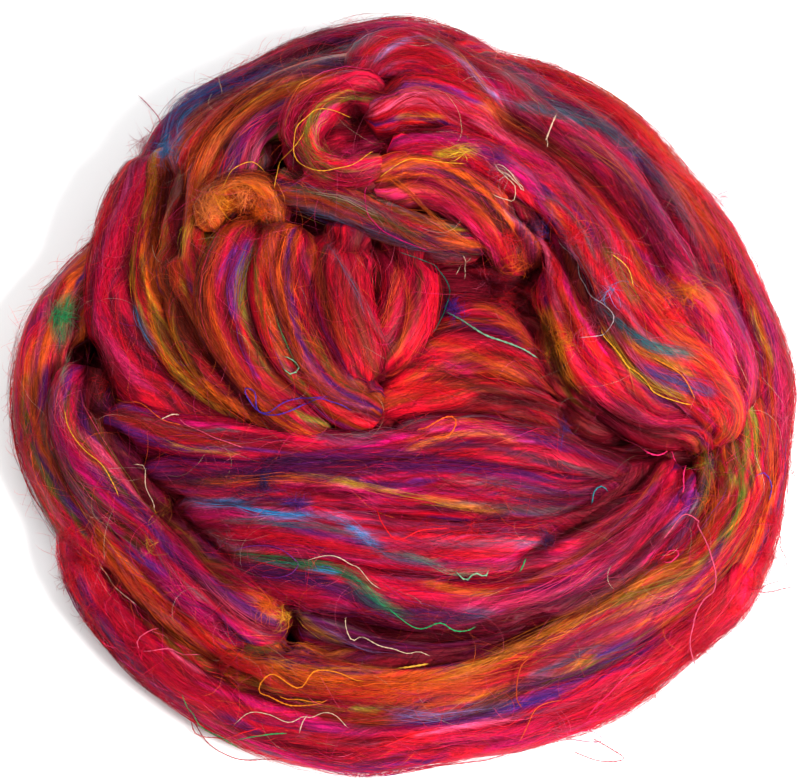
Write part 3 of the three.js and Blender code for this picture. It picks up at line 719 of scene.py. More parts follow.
    ("amber", 7, 1.5, ((420, 580), (460, 592), (500, 592))),
    ("pink", 16, 1.5, ((440, 604), (500, 606), (560, 588), (610, 552), (650, 520), (675, 490))),
    ("orange", 6, 1.5, ((500, 590), (550, 572), (590, 548), (640, 500), (668, 462))),
    ("violet", 5, 1.3, ((600, 540), (635, 508), (662, 476))),
    ("navy", 9, 2.2, ((440, 622), (462, 618), (486, 616))),
    ("slate", 9, 1.6, ((462, 612), (480, 612), (500, 618))),
    ("plum", 10, 1.7, ((380, 604), (450, 634), (520, 622), (580, 602), (640, 560), (676, 520))),
    # painted shade along the gap beside it
    ("maroon", 10, 1.8, ((300, 600), (360, 628), (420, 640), (490, 636), (560, 612))),
    ("purple", 10, 1.6, ((285, 602), (330, 632), (390, 648), (450, 652), (500, 642))),
    ("lilac", 4, 1.4, ((310, 618), (350, 642), (400, 656), (440, 658))),
    ("gold", 7, 1.6, ((296, 610), (314, 628), (345, 645))),
    ("olive", 9, 1.4, ((690, 430), (705, 460), (706, 490), (694, 520))),
    ("orange", 8, 1.3, ((688, 450), (712, 480), (712, 520), (690, 550))),
    ("leaf", 5, 2.4, ((714, 414), (732, 438), (741, 466), (741, 496), (732, 530), (716, 556))),
    ("olive", 9, 1.6, ((715, 552), (690, 572), (650, 588), (600, 606))),
    # south
    ("amber", 11, 2.6, ((400, 690), (450, 676), (505, 654), (540, 636), (600, 603), (650, 578),
                        (698, 556))),
    ("brown", 8, 1.6, ((520, 634), (560, 616), (610, 590), (650, 566), (690, 552))),
    ("orange", 14, 2.0, ((280, 664), (330, 678), (390, 684), (450, 684), (500, 668))),
    ("apricot", 7, 2.2, ((440, 680), (470, 672), (504, 656), (530, 640))),
    ("apricot", 5, 2.0, ((620, 594), (650, 580), (680, 566))),
    ("rust", 12, 1.5, ((285, 650), (340, 664), (400, 668), (440, 660))),
    ("gold", 6, 1.8, ((440, 676), (480, 664), (520, 648))),
    ("orange", 9, 1.4, ((370, 698), (430, 704), (490, 694))),
    ("lilac", 9, 1.8, ((384, 712), (430, 716), (480, 711), (512, 704))),
    ("violet", 12, 1.9, ((384, 718), (430, 722), (480, 716), (530, 702), (580, 686))),
    ("slate", 7, 2.2, ((528, 676), (552, 667), (582, 652), (606, 642))),
    ("violet", 7, 2.2, ((590, 660), (612, 650), (636, 641))),
    ("purple", 14, 1.8, ((500, 690), (540, 684), (590, 670), (640, 644), (666, 628))),
    ("violet", 6, 1.8, ((530, 694), (560, 686), (600, 674))),
    ("slate", 9, 2.2, ((470, 712), (492, 708), (520, 700))),
    ("mauve", 18, 2.0, ((530, 662), (590, 636), (650, 606), (700, 585))),
    ("rose", 8, 1.8, ((600, 640), (640, 618), (690, 598))),
    ("olive", 4, 1.8, ((560, 632), (600, 612), (650, 592), (690, 574))),
    ("plum", 10, 1.8, ((500, 618), (560, 600), (600, 580), (640, 562))),
    ("purple", 9, 1.4, ((640, 620), (680, 596), (708, 566), (730, 530))),
    ("purple", 8, 1.2, ((226, 710), (270, 722), (320, 730), (380, 736))),
    ("magenta", 10, 1.5, ((235, 694), (280, 700), (330, 712))),
    ("violet", 8, 1.4, ((212, 712), (240, 722), (262, 732))),
    # painted shade along the shaded rim beside it
    ("maroon", 12, 1.2, ((260, 740), (330, 752), (400, 756))),
    ("red", 22, 3.0, ((520, 738), (590, 714), (650, 682), (700, 634), (745, 592))),
    ("red", 16, 2.6, ((610, 692), (660, 650), (710, 612), (750, 560))),
    ("pink", 16, 1.4, ((430, 742), (500, 738), (560, 722))),
    ("crimson", 16, 1.6, ((100, 590), (130, 640), (180, 688), (240, 706))),
    ("wine", 12, 1.8, ((92, 590), (124, 642), (172, 692), (232, 722))),
    ("maroon", 7, 1.6, ((112, 598), (146, 644), (196, 686), (250, 706))),
    ("wine", 14, 2.0, ((250, 690), (300, 706), (360, 716))),
    ("scarlet", 12, 2.4, ((176, 616), (215, 650), (250, 672), (268, 666))),
    ("orange", 4, 2.4, ((150, 606), (196, 650), (240, 674), (266, 680))),
    ("red", 10, 1.6, ((82, 545), (92, 590), (130, 640))),
)

# Small tangles: colour, number of fibres, spread in pixels, and the pixel in their middle.
TANGLES = (
    ("apricot", 150, 15, (211, 210)), ("amber", 50, 12, (222, 200)), ("apricot", 80, 18, (244, 198)),
    ("rust", 130, 18, (248, 218)), ("orange", 70, 14, (262, 212)), ("brown", 60, 16, (268, 228)),
    ("scarlet", 70, 16, (575, 234)), ("rose", 30, 14, (570, 245)), ("orange", 40, 20, (684, 296)),
    ("scarlet", 50, 20, (676, 318)), ("amber", 30, 16, (690, 292)), ("sun", 20, 5, (462, 151)),
    ("pearl", 10, 9, (506, 176)), ("rose", 14, 8, (496, 165)),
    ("purple", 40, 10, (500, 158)), ("azure", 12, 3, (609, 293)), ("blue", 30, 6, (564, 430)),
    ("violet", 60, 7, (456, 312)), ("blue", 20, 6, (545, 232)), ("navy", 60, 10, (534, 224)),
    ("maroon", 40, 14, (512, 286)),
    ("scarlet", 60, 22, (508, 240)), ("orange", 50, 16, (516, 262)), ("wine", 50, 26, (492, 285)),
    ("rose", 30, 26, (490, 280)), ("scarlet", 60, 26, (508, 302)), ("crimson", 50, 26, (545, 292)),
    ("orange", 40, 22, (560, 330)), ("amber", 60, 18, (562, 345)), ("rose", 30, 26, (590, 330)),
    ("olive", 24, 20, (710, 470)), ("orange", 30, 22, (706, 500)), ("rust", 30, 22, (700, 450)),
    ("green", 90, 12, (64, 318)), ("azure", 40, 6, (168, 152)), ("gold", 12, 9, (152, 546)),
    ("gold", 20, 6, (162, 512)), ("violet", 30, 8, (300, 504)), ("scarlet", 30, 7, (473, 528)),
    ("scarlet", 40, 10, (665, 556)), ("navy", 40, 12, (546, 540)), ("scarlet", 60, 16, (224, 666)),
    ("wine", 60, 18, (216, 676)), ("smoke", 10, 18, (232, 538)),
    ("orange", 70, 10, (266, 606)), ("gold", 40, 8, (282, 616)), ("navy", 60, 7, (266, 482)),
    ("maroon", 60, 24, (360, 110)), ("wine", 40, 20, (380, 90)),
    ("pink", 50, 18, (352, 158)), ("scarlet", 70, 14, (88, 560)), ("crimson", 70, 14, (76, 545)),
    ("crimson", 60, 16, (112, 600)), ("crimson", 60, 18, (140, 650)), ("scarlet", 60, 16, (735, 610)),
    ("crimson", 50, 18, (700, 640)), ("pink", 30, 12, (144, 146)), ("scarlet", 40, 12, (105, 385)),
    ("crimson", 110, 14, (74, 560)), ("red", 70, 12, (72, 584)), ("red", 50, 9, (70, 532)),
    ("crimson", 70, 12, (92, 612)), ("red", 80, 13, (768, 520)), ("red", 70, 12, (764, 556)),
    ("scarlet", 60, 13, (752, 584)), ("red", 60, 12, (700, 646)), ("red", 60, 12, (650, 690)),
    ("rose", 30, 16, (560, 730)), ("crimson", 40, 12, (150, 674)), ("crimson", 30, 10, (30, 440)),
    ("rose", 20, 10, (782, 420)), ("pink", 30, 10, (724, 196)), ("orange", 24, 10, (668, 150)),
)

# Bits of spun thread: colour, radius, height over the fibre, and a line through pixels.
THREADS = (
    ("gold", 0.13, 1.5, ((350, 115), (320, 110), (300, 125), (297, 150), (315, 170), (345, 170),
                         (375, 155))),
    ("gold", 0.12, 1.6, ((304, 132), (296, 150), (280, 170), (278, 190))),
    ("gold", 0.12, 1.6, ((224, 190), (235, 170), (250, 162), (265, 175))),
    ("violet", 0.20, 1.2, ((330, 395), (290, 400), (270, 411), (258, 406), (246, 388), (256, 392),
                           (262, 410),
                           (290, 412), (318, 398), (345, 403), (352, 412))),
    ("jade", 0.19, 1.4, ((400, 250), (430, 265), (447, 285), (449, 305), (440, 325), (428, 333))),
    ("mint", 0.29, 1.4, ((445, 315), (462, 324), (480, 335), (520, 350), (535, 360))),
    ("cream", 0.15, 1.6, ((455, 278), (464, 264), (470, 253))),
    ("cream", 0.15, 1.6, ((460, 253), (466, 264), (464, 282))),
    ("gold", 0.13, 1.6, ((380, 178), (400, 165), (420, 162), (465, 168))),
    ("magenta", 0.14, 1.4, ((372, 176), (364, 196), (374, 222), (400, 238), (430, 248))),
    ("cream", 0.29, 3.0, ((555, 118), (549, 138), (542, 156))),
    ("cream", 0.13, 1.8, ((494, 162), (500, 173), (509, 172), (516, 182), (521, 193), (522, 186),
                          (512, 173),
                          (500, 164), (494, 166))),
    ("cream", 0.12, 1.6, ((496, 168), (506, 180), (515, 188), (512, 198), (498, 199), (490, 194))),
    ("pearl", 0.12, 1.8, ((560, 240), (575, 262), (582, 282), (595, 295), (615, 312), (615, 325),
                          (600, 338),
                          (580, 338))),
    ("yellow", 0.16, 1.8, ((608, 256), (625, 268), (633, 290))),
    ("gold", 0.18, 1.6, ((602, 328), (622, 352), (640, 378), (664, 392), (692, 402))),
    ("amber", 0.16, 1.6, ((650, 356), (680, 372), (694, 398))),
    ("gold", 0.17, 1.5, ((64, 411), (69, 430), (84, 451), (102, 466), (112, 481), (120, 498))),
    ("cream", 0.15, 1.8, ((133, 467), (145, 471), (147, 491), (158, 512))),
    ("orange", 0.12, 1.6, ((119, 396), (138, 406), (158, 418), (182, 430))),
    ("cream", 0.17, 1.8, ((162, 421), (170, 419), (180, 420))),
    ("red", 0.16, 1.4, ((16, 384), (14, 420), (18, 456), (30, 492), (46, 516))),
    ("rose", 0.16, 1.4, ((178, 420), (205, 436), (245, 447))),
    ("cream", 0.15, 1.4, ((102, 562), (118, 584), (140, 604))),
    ("rose", 0.18, 2.0, ((142, 652), (140, 640), (150, 634), (160, 630))),
    ("rose", 0.16, 1.6, ((142, 651), (175, 652), (200, 658))),
    ("amber", 0.20, 2.2, ((365, 682), (342, 675), (316, 673), (303, 684), (288, 681), (274, 675),
                          (265, 681),
                          (266, 692), (285, 704), (301, 706), (330, 700))),
    ("amber", 0.22, 1.8, ((278, 694), (292, 696), (306, 697), (326, 700))),
    ("cream", 0.13, 2.0, ((236, 722), (250, 713), (270, 715), (290, 722), (310, 714), (332, 711),
                          (350, 722))),
    ("cream", 0.17, 2.4, ((300, 730), (303, 722), (308, 716))),
    ("scarlet", 0.20, 2.0, ((191, 721), (196, 735), (212, 739), (230, 733), (262, 726))),
    ("crimson", 0.19, 1.0, ((186, 700), (204, 739), (230, 757), (255, 761), (288, 754))),
    ("green", 0.18, 1.2, ((184, 692), (192, 710), (204, 724), (224, 735), (242, 745))),
    ("green", 0.20, 1.6, ((236, 736), (262, 733), (288, 733))),
    ("pink", 0.16, 1.0, ((138, 96), (150, 108), (162, 124), (156, 136), (144, 128))),
    ("cream", 0.15, 1.4, ((220, 80), (224, 98))),
    ("mint", 0.23, 1.4, ((282, 356), (290, 360), (298, 368), (292, 374), (284, 366))),
    ("cream", 0.15, 1.6, ((306, 557), (325, 553), (342, 555), (353, 563), (366, 578), (381, 592))),
    ("scarlet", 0.19, 1.6, ((375, 508), (382, 524), (396, 540), (420, 534), (450, 532))),
    ("green", 0.20, 1.6, ((388, 606), (402, 616), (420, 624), (440, 620), (455, 626), (478, 624))),
    ("teal", 0.23, 1.6, ((588, 502), (592, 490), (600, 486), (606, 490))),
    ("green", 0.23, 1.4, ((516, 570), (522, 558))),
    ("mint", 0.31, 1.4, ((455, 568), (466, 576), (474, 570), (484, 574), (488, 568))),
    ("cream", 0.17, 1.6, ((345, 614), (345, 626), (352, 637), (366, 642), (398, 649), (430, 654))),
    ("purple", 0.16, 1.2, ((232, 549), (262, 545), (286, 550), (299, 562), (294, 573), (278, 577),
                           (260, 575))),
    ("rust", 0.24, 2.2, ((550, 641), (536, 650), (522, 664), (515, 682), (515, 696), (522, 707))),
    ("orange", 0.12, 1.4, ((562, 700), (548, 702), (536, 708), (526, 726), (518, 740))),
    ("pink", 0.12, 1.4, ((650, 658), (630, 672), (606, 694), (584, 718))),
    ("magenta", 0.14, 1.2, ((582, 722), (602, 740), (590, 743), (564, 738), (576, 735))),
    ("yellow", 0.30, 2.4, ((395, 664), (410, 663), (428, 660))),
    ("orange", 0.23, 1.8, ((416, 436), (434, 426), (450, 420), (456, 426), (448, 436), (430, 438))),
    ("rose", 0.24, 3.2, ((654, 533), (676, 514), (690, 519), (701, 535), (708, 561), (705, 593), (694, 623),
                         (685, 643), (688, 659))),
    ("pink", 0.23, 2.6, ((618, 445), (655, 449), (678, 460), (685, 476), (682, 501))),
    ("cream", 0.14, 2.0, ((716, 645), (717, 672), (711, 721))),
    ("pink", 0.18, 1.6, ((655, 560), (668, 552), (680, 556), (670, 566), (658, 560))),
    ("crimson", 0.18, 1.2, ((590, 738), (608, 748), (624, 760), (600, 762), (572, 752))),
    ("crimson", 0.20, 2.4, ((732, 596), (750, 590), (776, 584), (790, 578))),
    ("crimson", 0.18, 2.0, ((740, 584), (762, 594), (786, 590), (798, 588))),
    ("crimson", 0.16, 3.0, ((768, 520), (776, 545), (786, 566), (770, 572))),
    ("wine", 0.16, 3.0, ((782, 470), (792, 478), (797, 482))),
    ("violet", 0.20, 1.4, ((752, 478), (762, 474), (768, 488), (766, 502))),
)


def light(colour):
    """A colour as it looks on a screen, as the light that it stands for."""
    value = np.asarray(colour, float) / 255
    return np.where(value <= 0.04045, value / 12.92, ((value + 0.055) / 1.055) ** 2.4)


NAMED = {name: light(rgb) * DEPTH_OF_DYE for name, rgb in COLOURS.items()}
GLOW = light((66, 4, 14))
STRAY_PALETTE = {"scarlet": 5, "rose": 5, "pink": 4, "orange": 5, "crimson": 3, "purple": 1, "maroon": 1,
                 "cream": 1}
FUZZ_PALETTE = {"crimson": 4, "scarlet": 5, "red": 4, "pink": 3, "rose": 3, "orange": 1}


# Lines and places

def unit(vectors):
    return vectors / np.maximum(np.linalg.norm(vectors, axis=-1, keepdims=True), 1e-9)


def in_plane(picture):
    """Points of the plane through AIM that faces the camera, at these (right, up) places."""
    return AIM + picture[:, :1] * RIGHT + picture[:, 1:2] * PICTURE_UP


def seen(rows):
    """The points that show at (right, up) in the picture and lie at these heights."""
    rows = np.asarray(rows, float)
    sight = in_plane(rows) - EYE
    reach = (rows[:, 2] - EYE[2]) / sight[:, 2]
    return EYE + sight * reach[:, None]


def in_picture(points):
    """Where points show in the picture: (right, up)."""
    back = points - EYE
    scale = DISTANCE / (back @ -TOWARDS_EYE)
    return np.stack([back[..., 0], back @ PICTURE_UP], axis=-1) * scale[..., None]


def picture_place(pixels):
    """Pixels of the photo as (right, up) in the picture, in millimetres."""
    middle = np.array(PHOTO_SIZE) / 2
    return (np.asarray(pixels, float) - middle) * np.array([PIXEL, -PIXEL])


def smooth_line(points, per_span=12):
    """A uniform Catmull-Rom line through the points, as in the part's source."""
    points = np.asarray(points, float)
    knots = np.vstack([2 * points[0] - points[1], points, 2 * points[-1] - points[-2]])
    t = np.linspace(0, 1, per_span, endpoint=False)[:, None]
    spans = []
    for a, b, c, d in zip(knots, knots[1:], knots[2:], knots[3:]):
        curve = b + t * (c - a) / 2 + t**2 * (2 * a - 5 * b + 4 * c - d) / 2
        spans.append(curve + t**3 * (3 * b - a - 3 * c + d) / 2)
    return np.vstack(spans + [points[-1:]])


def near_line(picture, line, broad):
    """Which places are near a line, how far off it they are, and their share of its length."""
    low, high = line.min(axis=0) - broad, line.max(axis=0) + broad
    close = np.flatnonzero((picture > low).all(axis=1) & (picture < high).all(axis=1))
    if len(close) == 0:
        return close, close, close
    gaps = np.linalg.norm(picture[close, None] - line[None], axis=2)
    return close, gaps.min(axis=1), gaps.argmin(axis=1) / (len(line) - 1)


def distances(line):
    steps = np.linalg.norm(np.diff(line, axis=0), axis=1)
    return np.concatenate([[0.0], np.cumsum(steps)])


def look_up(at, stations, table):
    """Each column of the table, read at these places."""
    columns = [np.interp(at, stations, column) for column in table.T]
    return np.stack(columns, axis=-1)


def wave(along, pitch):
    return TURN * along / pitch


def wrapped(angle):
    """The same angle, between minus half a turn and half a turn."""
    return (angle + math.pi) % TURN - math.pi


def soft_step(value):
    value = np.clip(value, 0, 1)
    return value * value * (3 - 2 * value)


def fading(place, ends):
    """1 along a line, and less towards its two ends."""
    return soft_step(np.minimum(place, 1 - place) / ends)


def keep_above(points, least=LEAST_Z):
    points[..., 2] = np.maximum(points[..., 2], least)


def pick_colours(rng, palette, count):
    names = list(palette)
    weights = np.array([palette[name] for name in names], float)
    chosen = rng.choice(len(names), count, p=weights / weights.sum())
    return np.array([NAMED[name] for name in names])[chosen]


# Folds

class Fold:
    """One fold of the sliver: points on it are named by share of its length and angle around it."""

    STATIONS = 160
    CELLS = (36, 18)

    def __init__(self, order, name, wide, thick, palette, path):
        line = smooth_line(seen(path))
        along = distances(line)
        self.name, self.wide, self.thick, self.phase = name, wide, thick, order
        self.palette = PALETTES[palette]
        self.length = along[-1]
        self.shares = np.linspace(0, 1, self.STATIONS)
        self.middle = look_up(self.shares * self.length, along, line)
        self.tangent = unit(np.gradient(self.middle, axis=0))
        self.side = unit(np.cross(UP, self.tangent))
        self.top = np.cross(self.tangent, self.side)
        self.radius = (wide + thick) / 4
        self.area = self.length * TURN * self.radius
        self.openness = None
        self.gaps = []
        rng = np.random.default_rng([SEED, order])
        self.furrows = self.find_furrows(rng)
        self.main = self.patches(rng)
        self.second = self.patches(rng)

    def find_furrows(self, rng):
        """Grooves between the locks: middle, angle, half length, depth, width, slope, sway, phase."""
        count = LEAST_FURROWS + round(self.area / AREA_PER_FURROW)
        return list(zip(
            rng.uniform(0, self.length, count),
            rng.uniform(0, TURN, count),
            rng.uniform(*FURROW_HALF, count),
            rng.uniform(*FURROW_DEPTH, count),
            rng.uniform(*FURROW_WIDTH, count),
            rng.normal(0, FURROW_SLOPE, count),
            rng.uniform(*FURROW_SWAY, count),
            rng.uniform(0, TURN, count)))

    def patches(self, rng):
        """Stretches of one colour along the fold, as (share, angle) places with a colour each."""
        count = LEAST_PATCHES + round(self.area / AREA_PER_PATCH)
        places = np.stack([rng.uniform(0, 1, count), rng.uniform(0, TURN, count)], axis=-1)
        tones = np.exp(rng.normal(*PATCH_TONE, (count, 1)))
        return places, pick_colours(rng, self.palette, count) * tones

    def colour(self, pattern, share, angle):
        """The colour of the nearest stretch. Stretches are long and narrow, and wave a little."""
        places, colours = pattern
        bent = angle + PATCH_SWAY * np.sin(wave(share * self.length, PATCH_PITCH) + self.phase)
        along = (share[:, None] - places[:, 0]) * self.length / PATCH_LENGTH
        around = wrapped(bent[:, None] - places[:, 1]) * self.radius / PATCH_WIDTH
        return colours[np.argmin(along**2 + around**2, axis=1)]

    def furrow_depth(self, share, angle):
        along = share * self.length
        total = np.zeros(np.broadcast(share, angle).shape)
        for middle, turn, half, depth, width, slope, sway, phase in self.furrows:
            away = along - middle
            shift = slope * away + sway * np.sin(wave(away, FURROW_PITCH) + phase)
            gap = wrapped(angle - turn - shift / self.radius)
            window = soft_step(1 - np.abs(away) / half)
            total = total + depth * window * np.exp(-(gap * self.radius / width) ** 2)
        return np.minimum(total, DEEPEST_FURROW)

    def gap_depth(self, points, angle):
        """How deep the gaps are at these points, and the light that they leave."""
        picture = in_picture(points).reshape(-1, 2)
        depth = np.zeros(len(picture))
        light_left = np.ones(len(picture))
        for line, broad, deep, dark in self.gaps:
            close, off, place = near_line(picture, line, GAP_REACH * broad)
            if len(close) > 0:
                share = fading(place, GAP_ENDS) * np.exp(-(off / (GAP_CORE * broad)) ** 2)
                depth[close] = np.maximum(depth[close], deep * share)
                light_left[close] *= 1 - dark * share
        facing = soft_step((np.sin(angle) + GAP_BELOW) / GAP_BELOW)
        shape = points.shape[:-1]
        return depth.reshape(shape) * facing, 1 - (1 - light_left.reshape(shape)) * facing

    def end_size(self, share):
        """Folds taper at both ends."""
        along = share * self.length
        inside = np.clip(np.minimum(along, self.length - along) / END_LENGTH, 0, 1)
        return LEAST_END + (1 - LEAST_END) * np.sqrt(1 - (1 - inside) ** 2)

    def reach(self, share, angle):
        """How far the skin is from the middle line, as a share of half the width or thickness."""
        along = share * self.length
        swell = 1 + SWELL[0] * np.sin(wave(along, SWELL[1]) + self.phase)
        lobes = 1.0
        for count, size, pitch in LOCKS + RIDGES:
            lobes = lobes + size * np.sin(count * angle + wave(along, pitch) + self.phase)
        return self.end_size(share) * swell * lobes

    def bare(self, share, angle, lift=0.0):
        """Points this far off the fold's skin, before furrows and gaps."""
        reach = self.reach(share, angle)
        middle = look_up(share, self.shares, self.middle)
        side = look_up(share, self.shares, self.side)
        top = look_up(share, self.shares, self.top)
        across = (self.wide / 2 * reach + lift) * np.cos(angle)
        rise = (self.thick / 2 * reach + lift) * np.sin(angle)
        return middle - side * across[..., None] + top * rise[..., None]

    def place(self, share, angle, lift=0.0):
        """Points this far off the fold's skin, and how dark the hollows make them, from 0 to 1."""
        furrow = self.furrow_depth(share, angle)
        gap, light_left = self.gap_depth(self.bare(share, angle), angle)
        most = DEEPEST_GAP * (self.wide + self.thick) / 2
        depth = np.minimum(furrow + gap, most) * self.end_size(share)
        points = self.bare(share, angle, lift - depth)
        keep_above(points)
        return points, 1 - light_left * (1 - FURROW_SHADE * furrow / DEEPEST_FURROW)

    def normal(self, share, angle):
        side = look_up(share, self.shares, self.side)
        top = look_up(share, self.shares, self.top)
        across = -side * (np.cos(angle) / self.wide)[..., None]
        return unit(across + top * (np.sin(angle) / self.thick)[..., None])

    def skin(self):
        """Rings of points on the fold's skin, with the share, angle and darkness of each point."""
        rings = max(SKIN_RINGS, round(self.length / SKIN_PITCH))
        share = np.linspace(0, 1, rings)[:, None] + np.zeros((1, SKIN_SIDES))
        even = np.linspace(0, TURN, SKIN_SIDES, endpoint=False)[None, :] + np.zeros((rings, 1))
        angle = even + SKIN_CROWDING * np.cos(even)
        points, dark = self.place(share, angle)
        for end in (0, -1):
            centre = points[end].mean(axis=0)
            points[end] = centre + (points[end] - centre) * END_PINCH
        return points, share, angle, dark

    def cell_middles(self):
        """The share and the angle in the middle of each cell of the openness."""
        rows, columns = self.CELLS
        share = (np.arange(rows) + 0.5)[:, None] / rows + np.zeros((1, columns))
        angle = (np.arange(columns) + 0.5)[None, :] / columns * TURN + np.zeros((rows, 1))
        return share, angle

    def cell_weights(self):
        """How much fibre each cell gets: none where other folds bury it."""
        return np.where(self.openness > LEAST_OPENNESS, HIDDEN_CELL_WEIGHT + self.openness, 0)

    def open_at(self, share, angle):
        """How much of the space around shows no other fold, from 0 to 1, between cell middles."""
        rows, columns = self.CELLS
        x = np.clip(share * rows - 0.5, 0, rows - 1.001)
        y = (angle / TURN * columns - 0.5) % columns
        x0, y0 = x.astype(int), y.astype(int)
        fx, fy = x - x0, y - y0
        y1 = (y0 + 1) % columns
        near = self.openness[x0, y0] * (1 - fy) + self.openness[x0, y1] * fy
        far = self.openness[x0 + 1, y0] * (1 - fy) + self.openness[x0 + 1, y1] * fy
        return near * (1 - fx) + far * fx


def tube_faces(rings, sides, first):
    """Quads of a tube whose rings follow each other from this vertex on."""
    ring = np.arange(rings - 1)[:, None] * sides
    around = np.arange(sides)[None, :]
    after = (around + 1) % sides
    quads = np.stack([ring + around, ring + after, ring + sides + after, ring + sides + around], axis=-1)
    return quads.reshape(-1, 4) + first


def heap_mesh():
    """The heap of fibre that the folds lie on, flat below: points, quads, and its bottom and top."""
    share = np.linspace(1, HEAP_TOP, HEAP_STEPS)
    radius = HEAP["radius"] * share
    height = HEAP["height"] * (1 - share ** HEAP["fullness"])
    turn = np.linspace(0, TURN, HEAP_SIDES, endpoint=False)
    x = radius[:, None] * np.cos(turn)
    y = radius[:, None] * np.sin(turn)
    z = height[:, None] + np.zeros_like(x) + LEAST_Z
    points = np.stack([x + AIM[0], y + AIM[1] + HEAP["back"], z], axis=-1).reshape(-1, 3)
    around = np.arange(HEAP_SIDES)
    fans = np.array([around[::-1], around + (HEAP_STEPS - 1) * HEAP_SIDES])
    return points, tube_faces(HEAP_STEPS, HEAP_SIDES, 0), fans


# Light

def shade(openness, dark):
    """Fibre deep between folds, or in a furrow, is darker than the light alone makes it."""
    bright = soft_step((openness - DARK_OPENNESS) / OPENNESS_RANGE)
    return (LEAST_LIGHT + (1 - LEAST_LIGHT) * bright) * (1 - dark)


def lit(colours, light_on):
    """Colours with less light on them. A little red light still comes through the fibre."""
    return colours * light_on + GLOW * (1 - light_on)


def sky_rays():
    """The directions in which the sky is looked for, with their weights."""
    rays = []
    for tilt, count, weight in SKY:
        for turn in range(count):
            azimuth = TURN * (turn + 0.5 * (tilt > STAGGERED_TILT)) / count
            level = math.sin(tilt)
            direction = (level * math.cos(azimuth), level * math.sin(azimuth), math.cos(tilt))
            rays.append((Vector(direction), weight))
    return rays


class Nest:
    """The folds together, and the rays that find what shows."""

    FAR = 600.0

    def __init__(self):
        self.folds = [Fold(order, *row) for order, row in enumerate(FOLDS + LOWER_FOLDS)]
        for width, depth, dark, pixels in CREASES:
            line = smooth_line(picture_place(pixels), GAP_SPAN)
            broad = width * PIXEL
            for fold in self.folds:
                close, _, _ = near_line(in_picture(fold.middle), line, fold.radius + broad)
                if len(close) > 0:
                    fold.gaps.append((line, broad, depth, dark))
        self.skins = [fold.skin() for fold in self.folds]
        self.build_tree()
        self.find_openness()
        self.find_light()

    def build_tree(self):
        points, faces, first = [], [], 0
        for skin, _, _, _ in self.skins:
            rings, sides, _ = skin.shape
            points.append(skin.reshape(-1, 3))
            faces.append(tube_faces(rings, sides, first))
            first += rings * sides
        heap_points, heap_quads, heap_fans = heap_mesh()
        points.append(heap_points)
        faces.append(heap_quads + first)
        fans = (heap_fans + first).tolist()
        first += len(heap_points)
        table = np.array([[-1, -1, 0], [1, -1, 0], [1, 1, 0], [-1, 1, 0]]) * self.FAR
        points.append(table)
        polygons = np.vstack(faces).tolist() + fans + [[first, first + 1, first + 2, first + 3]]
        self.tree = BVHTree.FromPolygons(np.vstack(points).tolist(), polygons)

    def blocked(self, start, direction):
        return self.tree.ray_cast(start, direction, RAY_LENGTH)[0] is not None

    def find_openness(self):
        rays = sky_rays()
        whole = sum(weight for _, weight in rays)
        for fold in self.folds:
            share, angle = fold.cell_middles()
            starts = fold.place(share, angle, RAY_START)[0].reshape(-1, 3)
            normals = fold.normal(share, angle).reshape(-1, 3)
            found = np.zeros(len(starts))
            for index, (start, out) in enumerate(zip(starts.tolist(), normals.tolist())):
                start, out = Vector(start), Vector(out)
                for direction, weight in rays:
                    if direction.dot(out) >= INTO_THE_FOLD and not self.blocked(start, direction):
                        found[index] += weight
                level = Vector((out[0], out[1], TABLE_RAY_RISE)).normalized()
                if not self.blocked(start, level):
                    low = soft_step((TABLE_LIGHT_HEIGHT - start[2]) / TABLE_LIGHT_HEIGHT)
                    found[index] += TABLE_LIGHT * whole * low * (1 - max(out[2], 0))
            fold.openness = (found / whole).reshape(fold.CELLS)

    def find_light(self):
        """How much light each quad of the folds keeps. The heap and the table come after them."""
        kept = []
        for fold, (_, share, angle, dark) in zip(self.folds, self.skins):
            kept.append(shade(fold.open_at(share, angle), dark)[:-1].ravel())
        self.quad_light = np.concatenate(kept)

    def light_on_faces(self, faces):
        faces = np.asarray(faces)
        inside = faces < len(self.quad_light)
        return np.where(inside, self.quad_light[np.where(inside, faces, 0)], HEAP_LIGHT)

    def from_eye(self, sight):
        """What each line of sight from the camera meets: its place, normal, face and distance."""
        eye = Vector(EYE)
        return [self.tree.ray_cast(eye, Vector(ray), 3 * self.FAR) for ray in sight.tolist()]

    def shown_at(self, picture):
        """What the camera sees at these (right, up) places: sight line, distance, normal and light."""
        sight = unit(in_plane(picture) - EYE)
        _, normals, faces, far = zip(*self.from_eye(sight))
        normals = np.array([tuple(normal) for normal in normals])
        facing = np.sign((normals * -sight).sum(axis=1, keepdims=True))
        return sight, np.array(far, float), normals * facing, self.light_on_faces(faces)

    def height_at(self, plan):
        """The top of the nest, or of the table, under these points, and the light there."""
        down = Vector((0, 0, -1))
        hits = [self.tree.ray_cast(Vector((x, y, RAY_TOP)), down) for x, y in plan.tolist()]
        heights = np.array([place[2] for place, _, _, _ in hits])
        return heights, self.light_on_faces([face for _, _, face, _ in hits])


# Fibres

def vary(rng, colours, kind):
    """Each fibre a little lighter or darker, warmer or cooler, and a few made paler with rose as a painted
    highlight.
    """
    count = len(colours)
    spread = TONE_SPREAD[kind]
    flat = colours.ndim == 2
    if flat:
        colours = colours[:, None]
    value = np.exp(rng.normal(0, spread, (count, 1, 1)))
    cast = np.exp(rng.normal(0, spread / 3, (count, 1, 3)))
    # Painted highlight: a few fibres are mixed towards rose.
    highlight_ones = rng.random((count, 1, 1)) < HIGHLIGHT_CHANCE
    pale = np.where(highlight_ones, rng.uniform(*HIGHLIGHT_SHARE, (count, 1, 1)), 0.0)
    changed = np.clip(colours * value * cast * (1 - pale) + NAMED["rose"] * pale, 0, 1)
    return changed[:, 0] if flat else changed


def one_colour(rng, colour, count, kind):
    return vary(rng, np.tile(NAMED[colour], (count, 1)), kind)


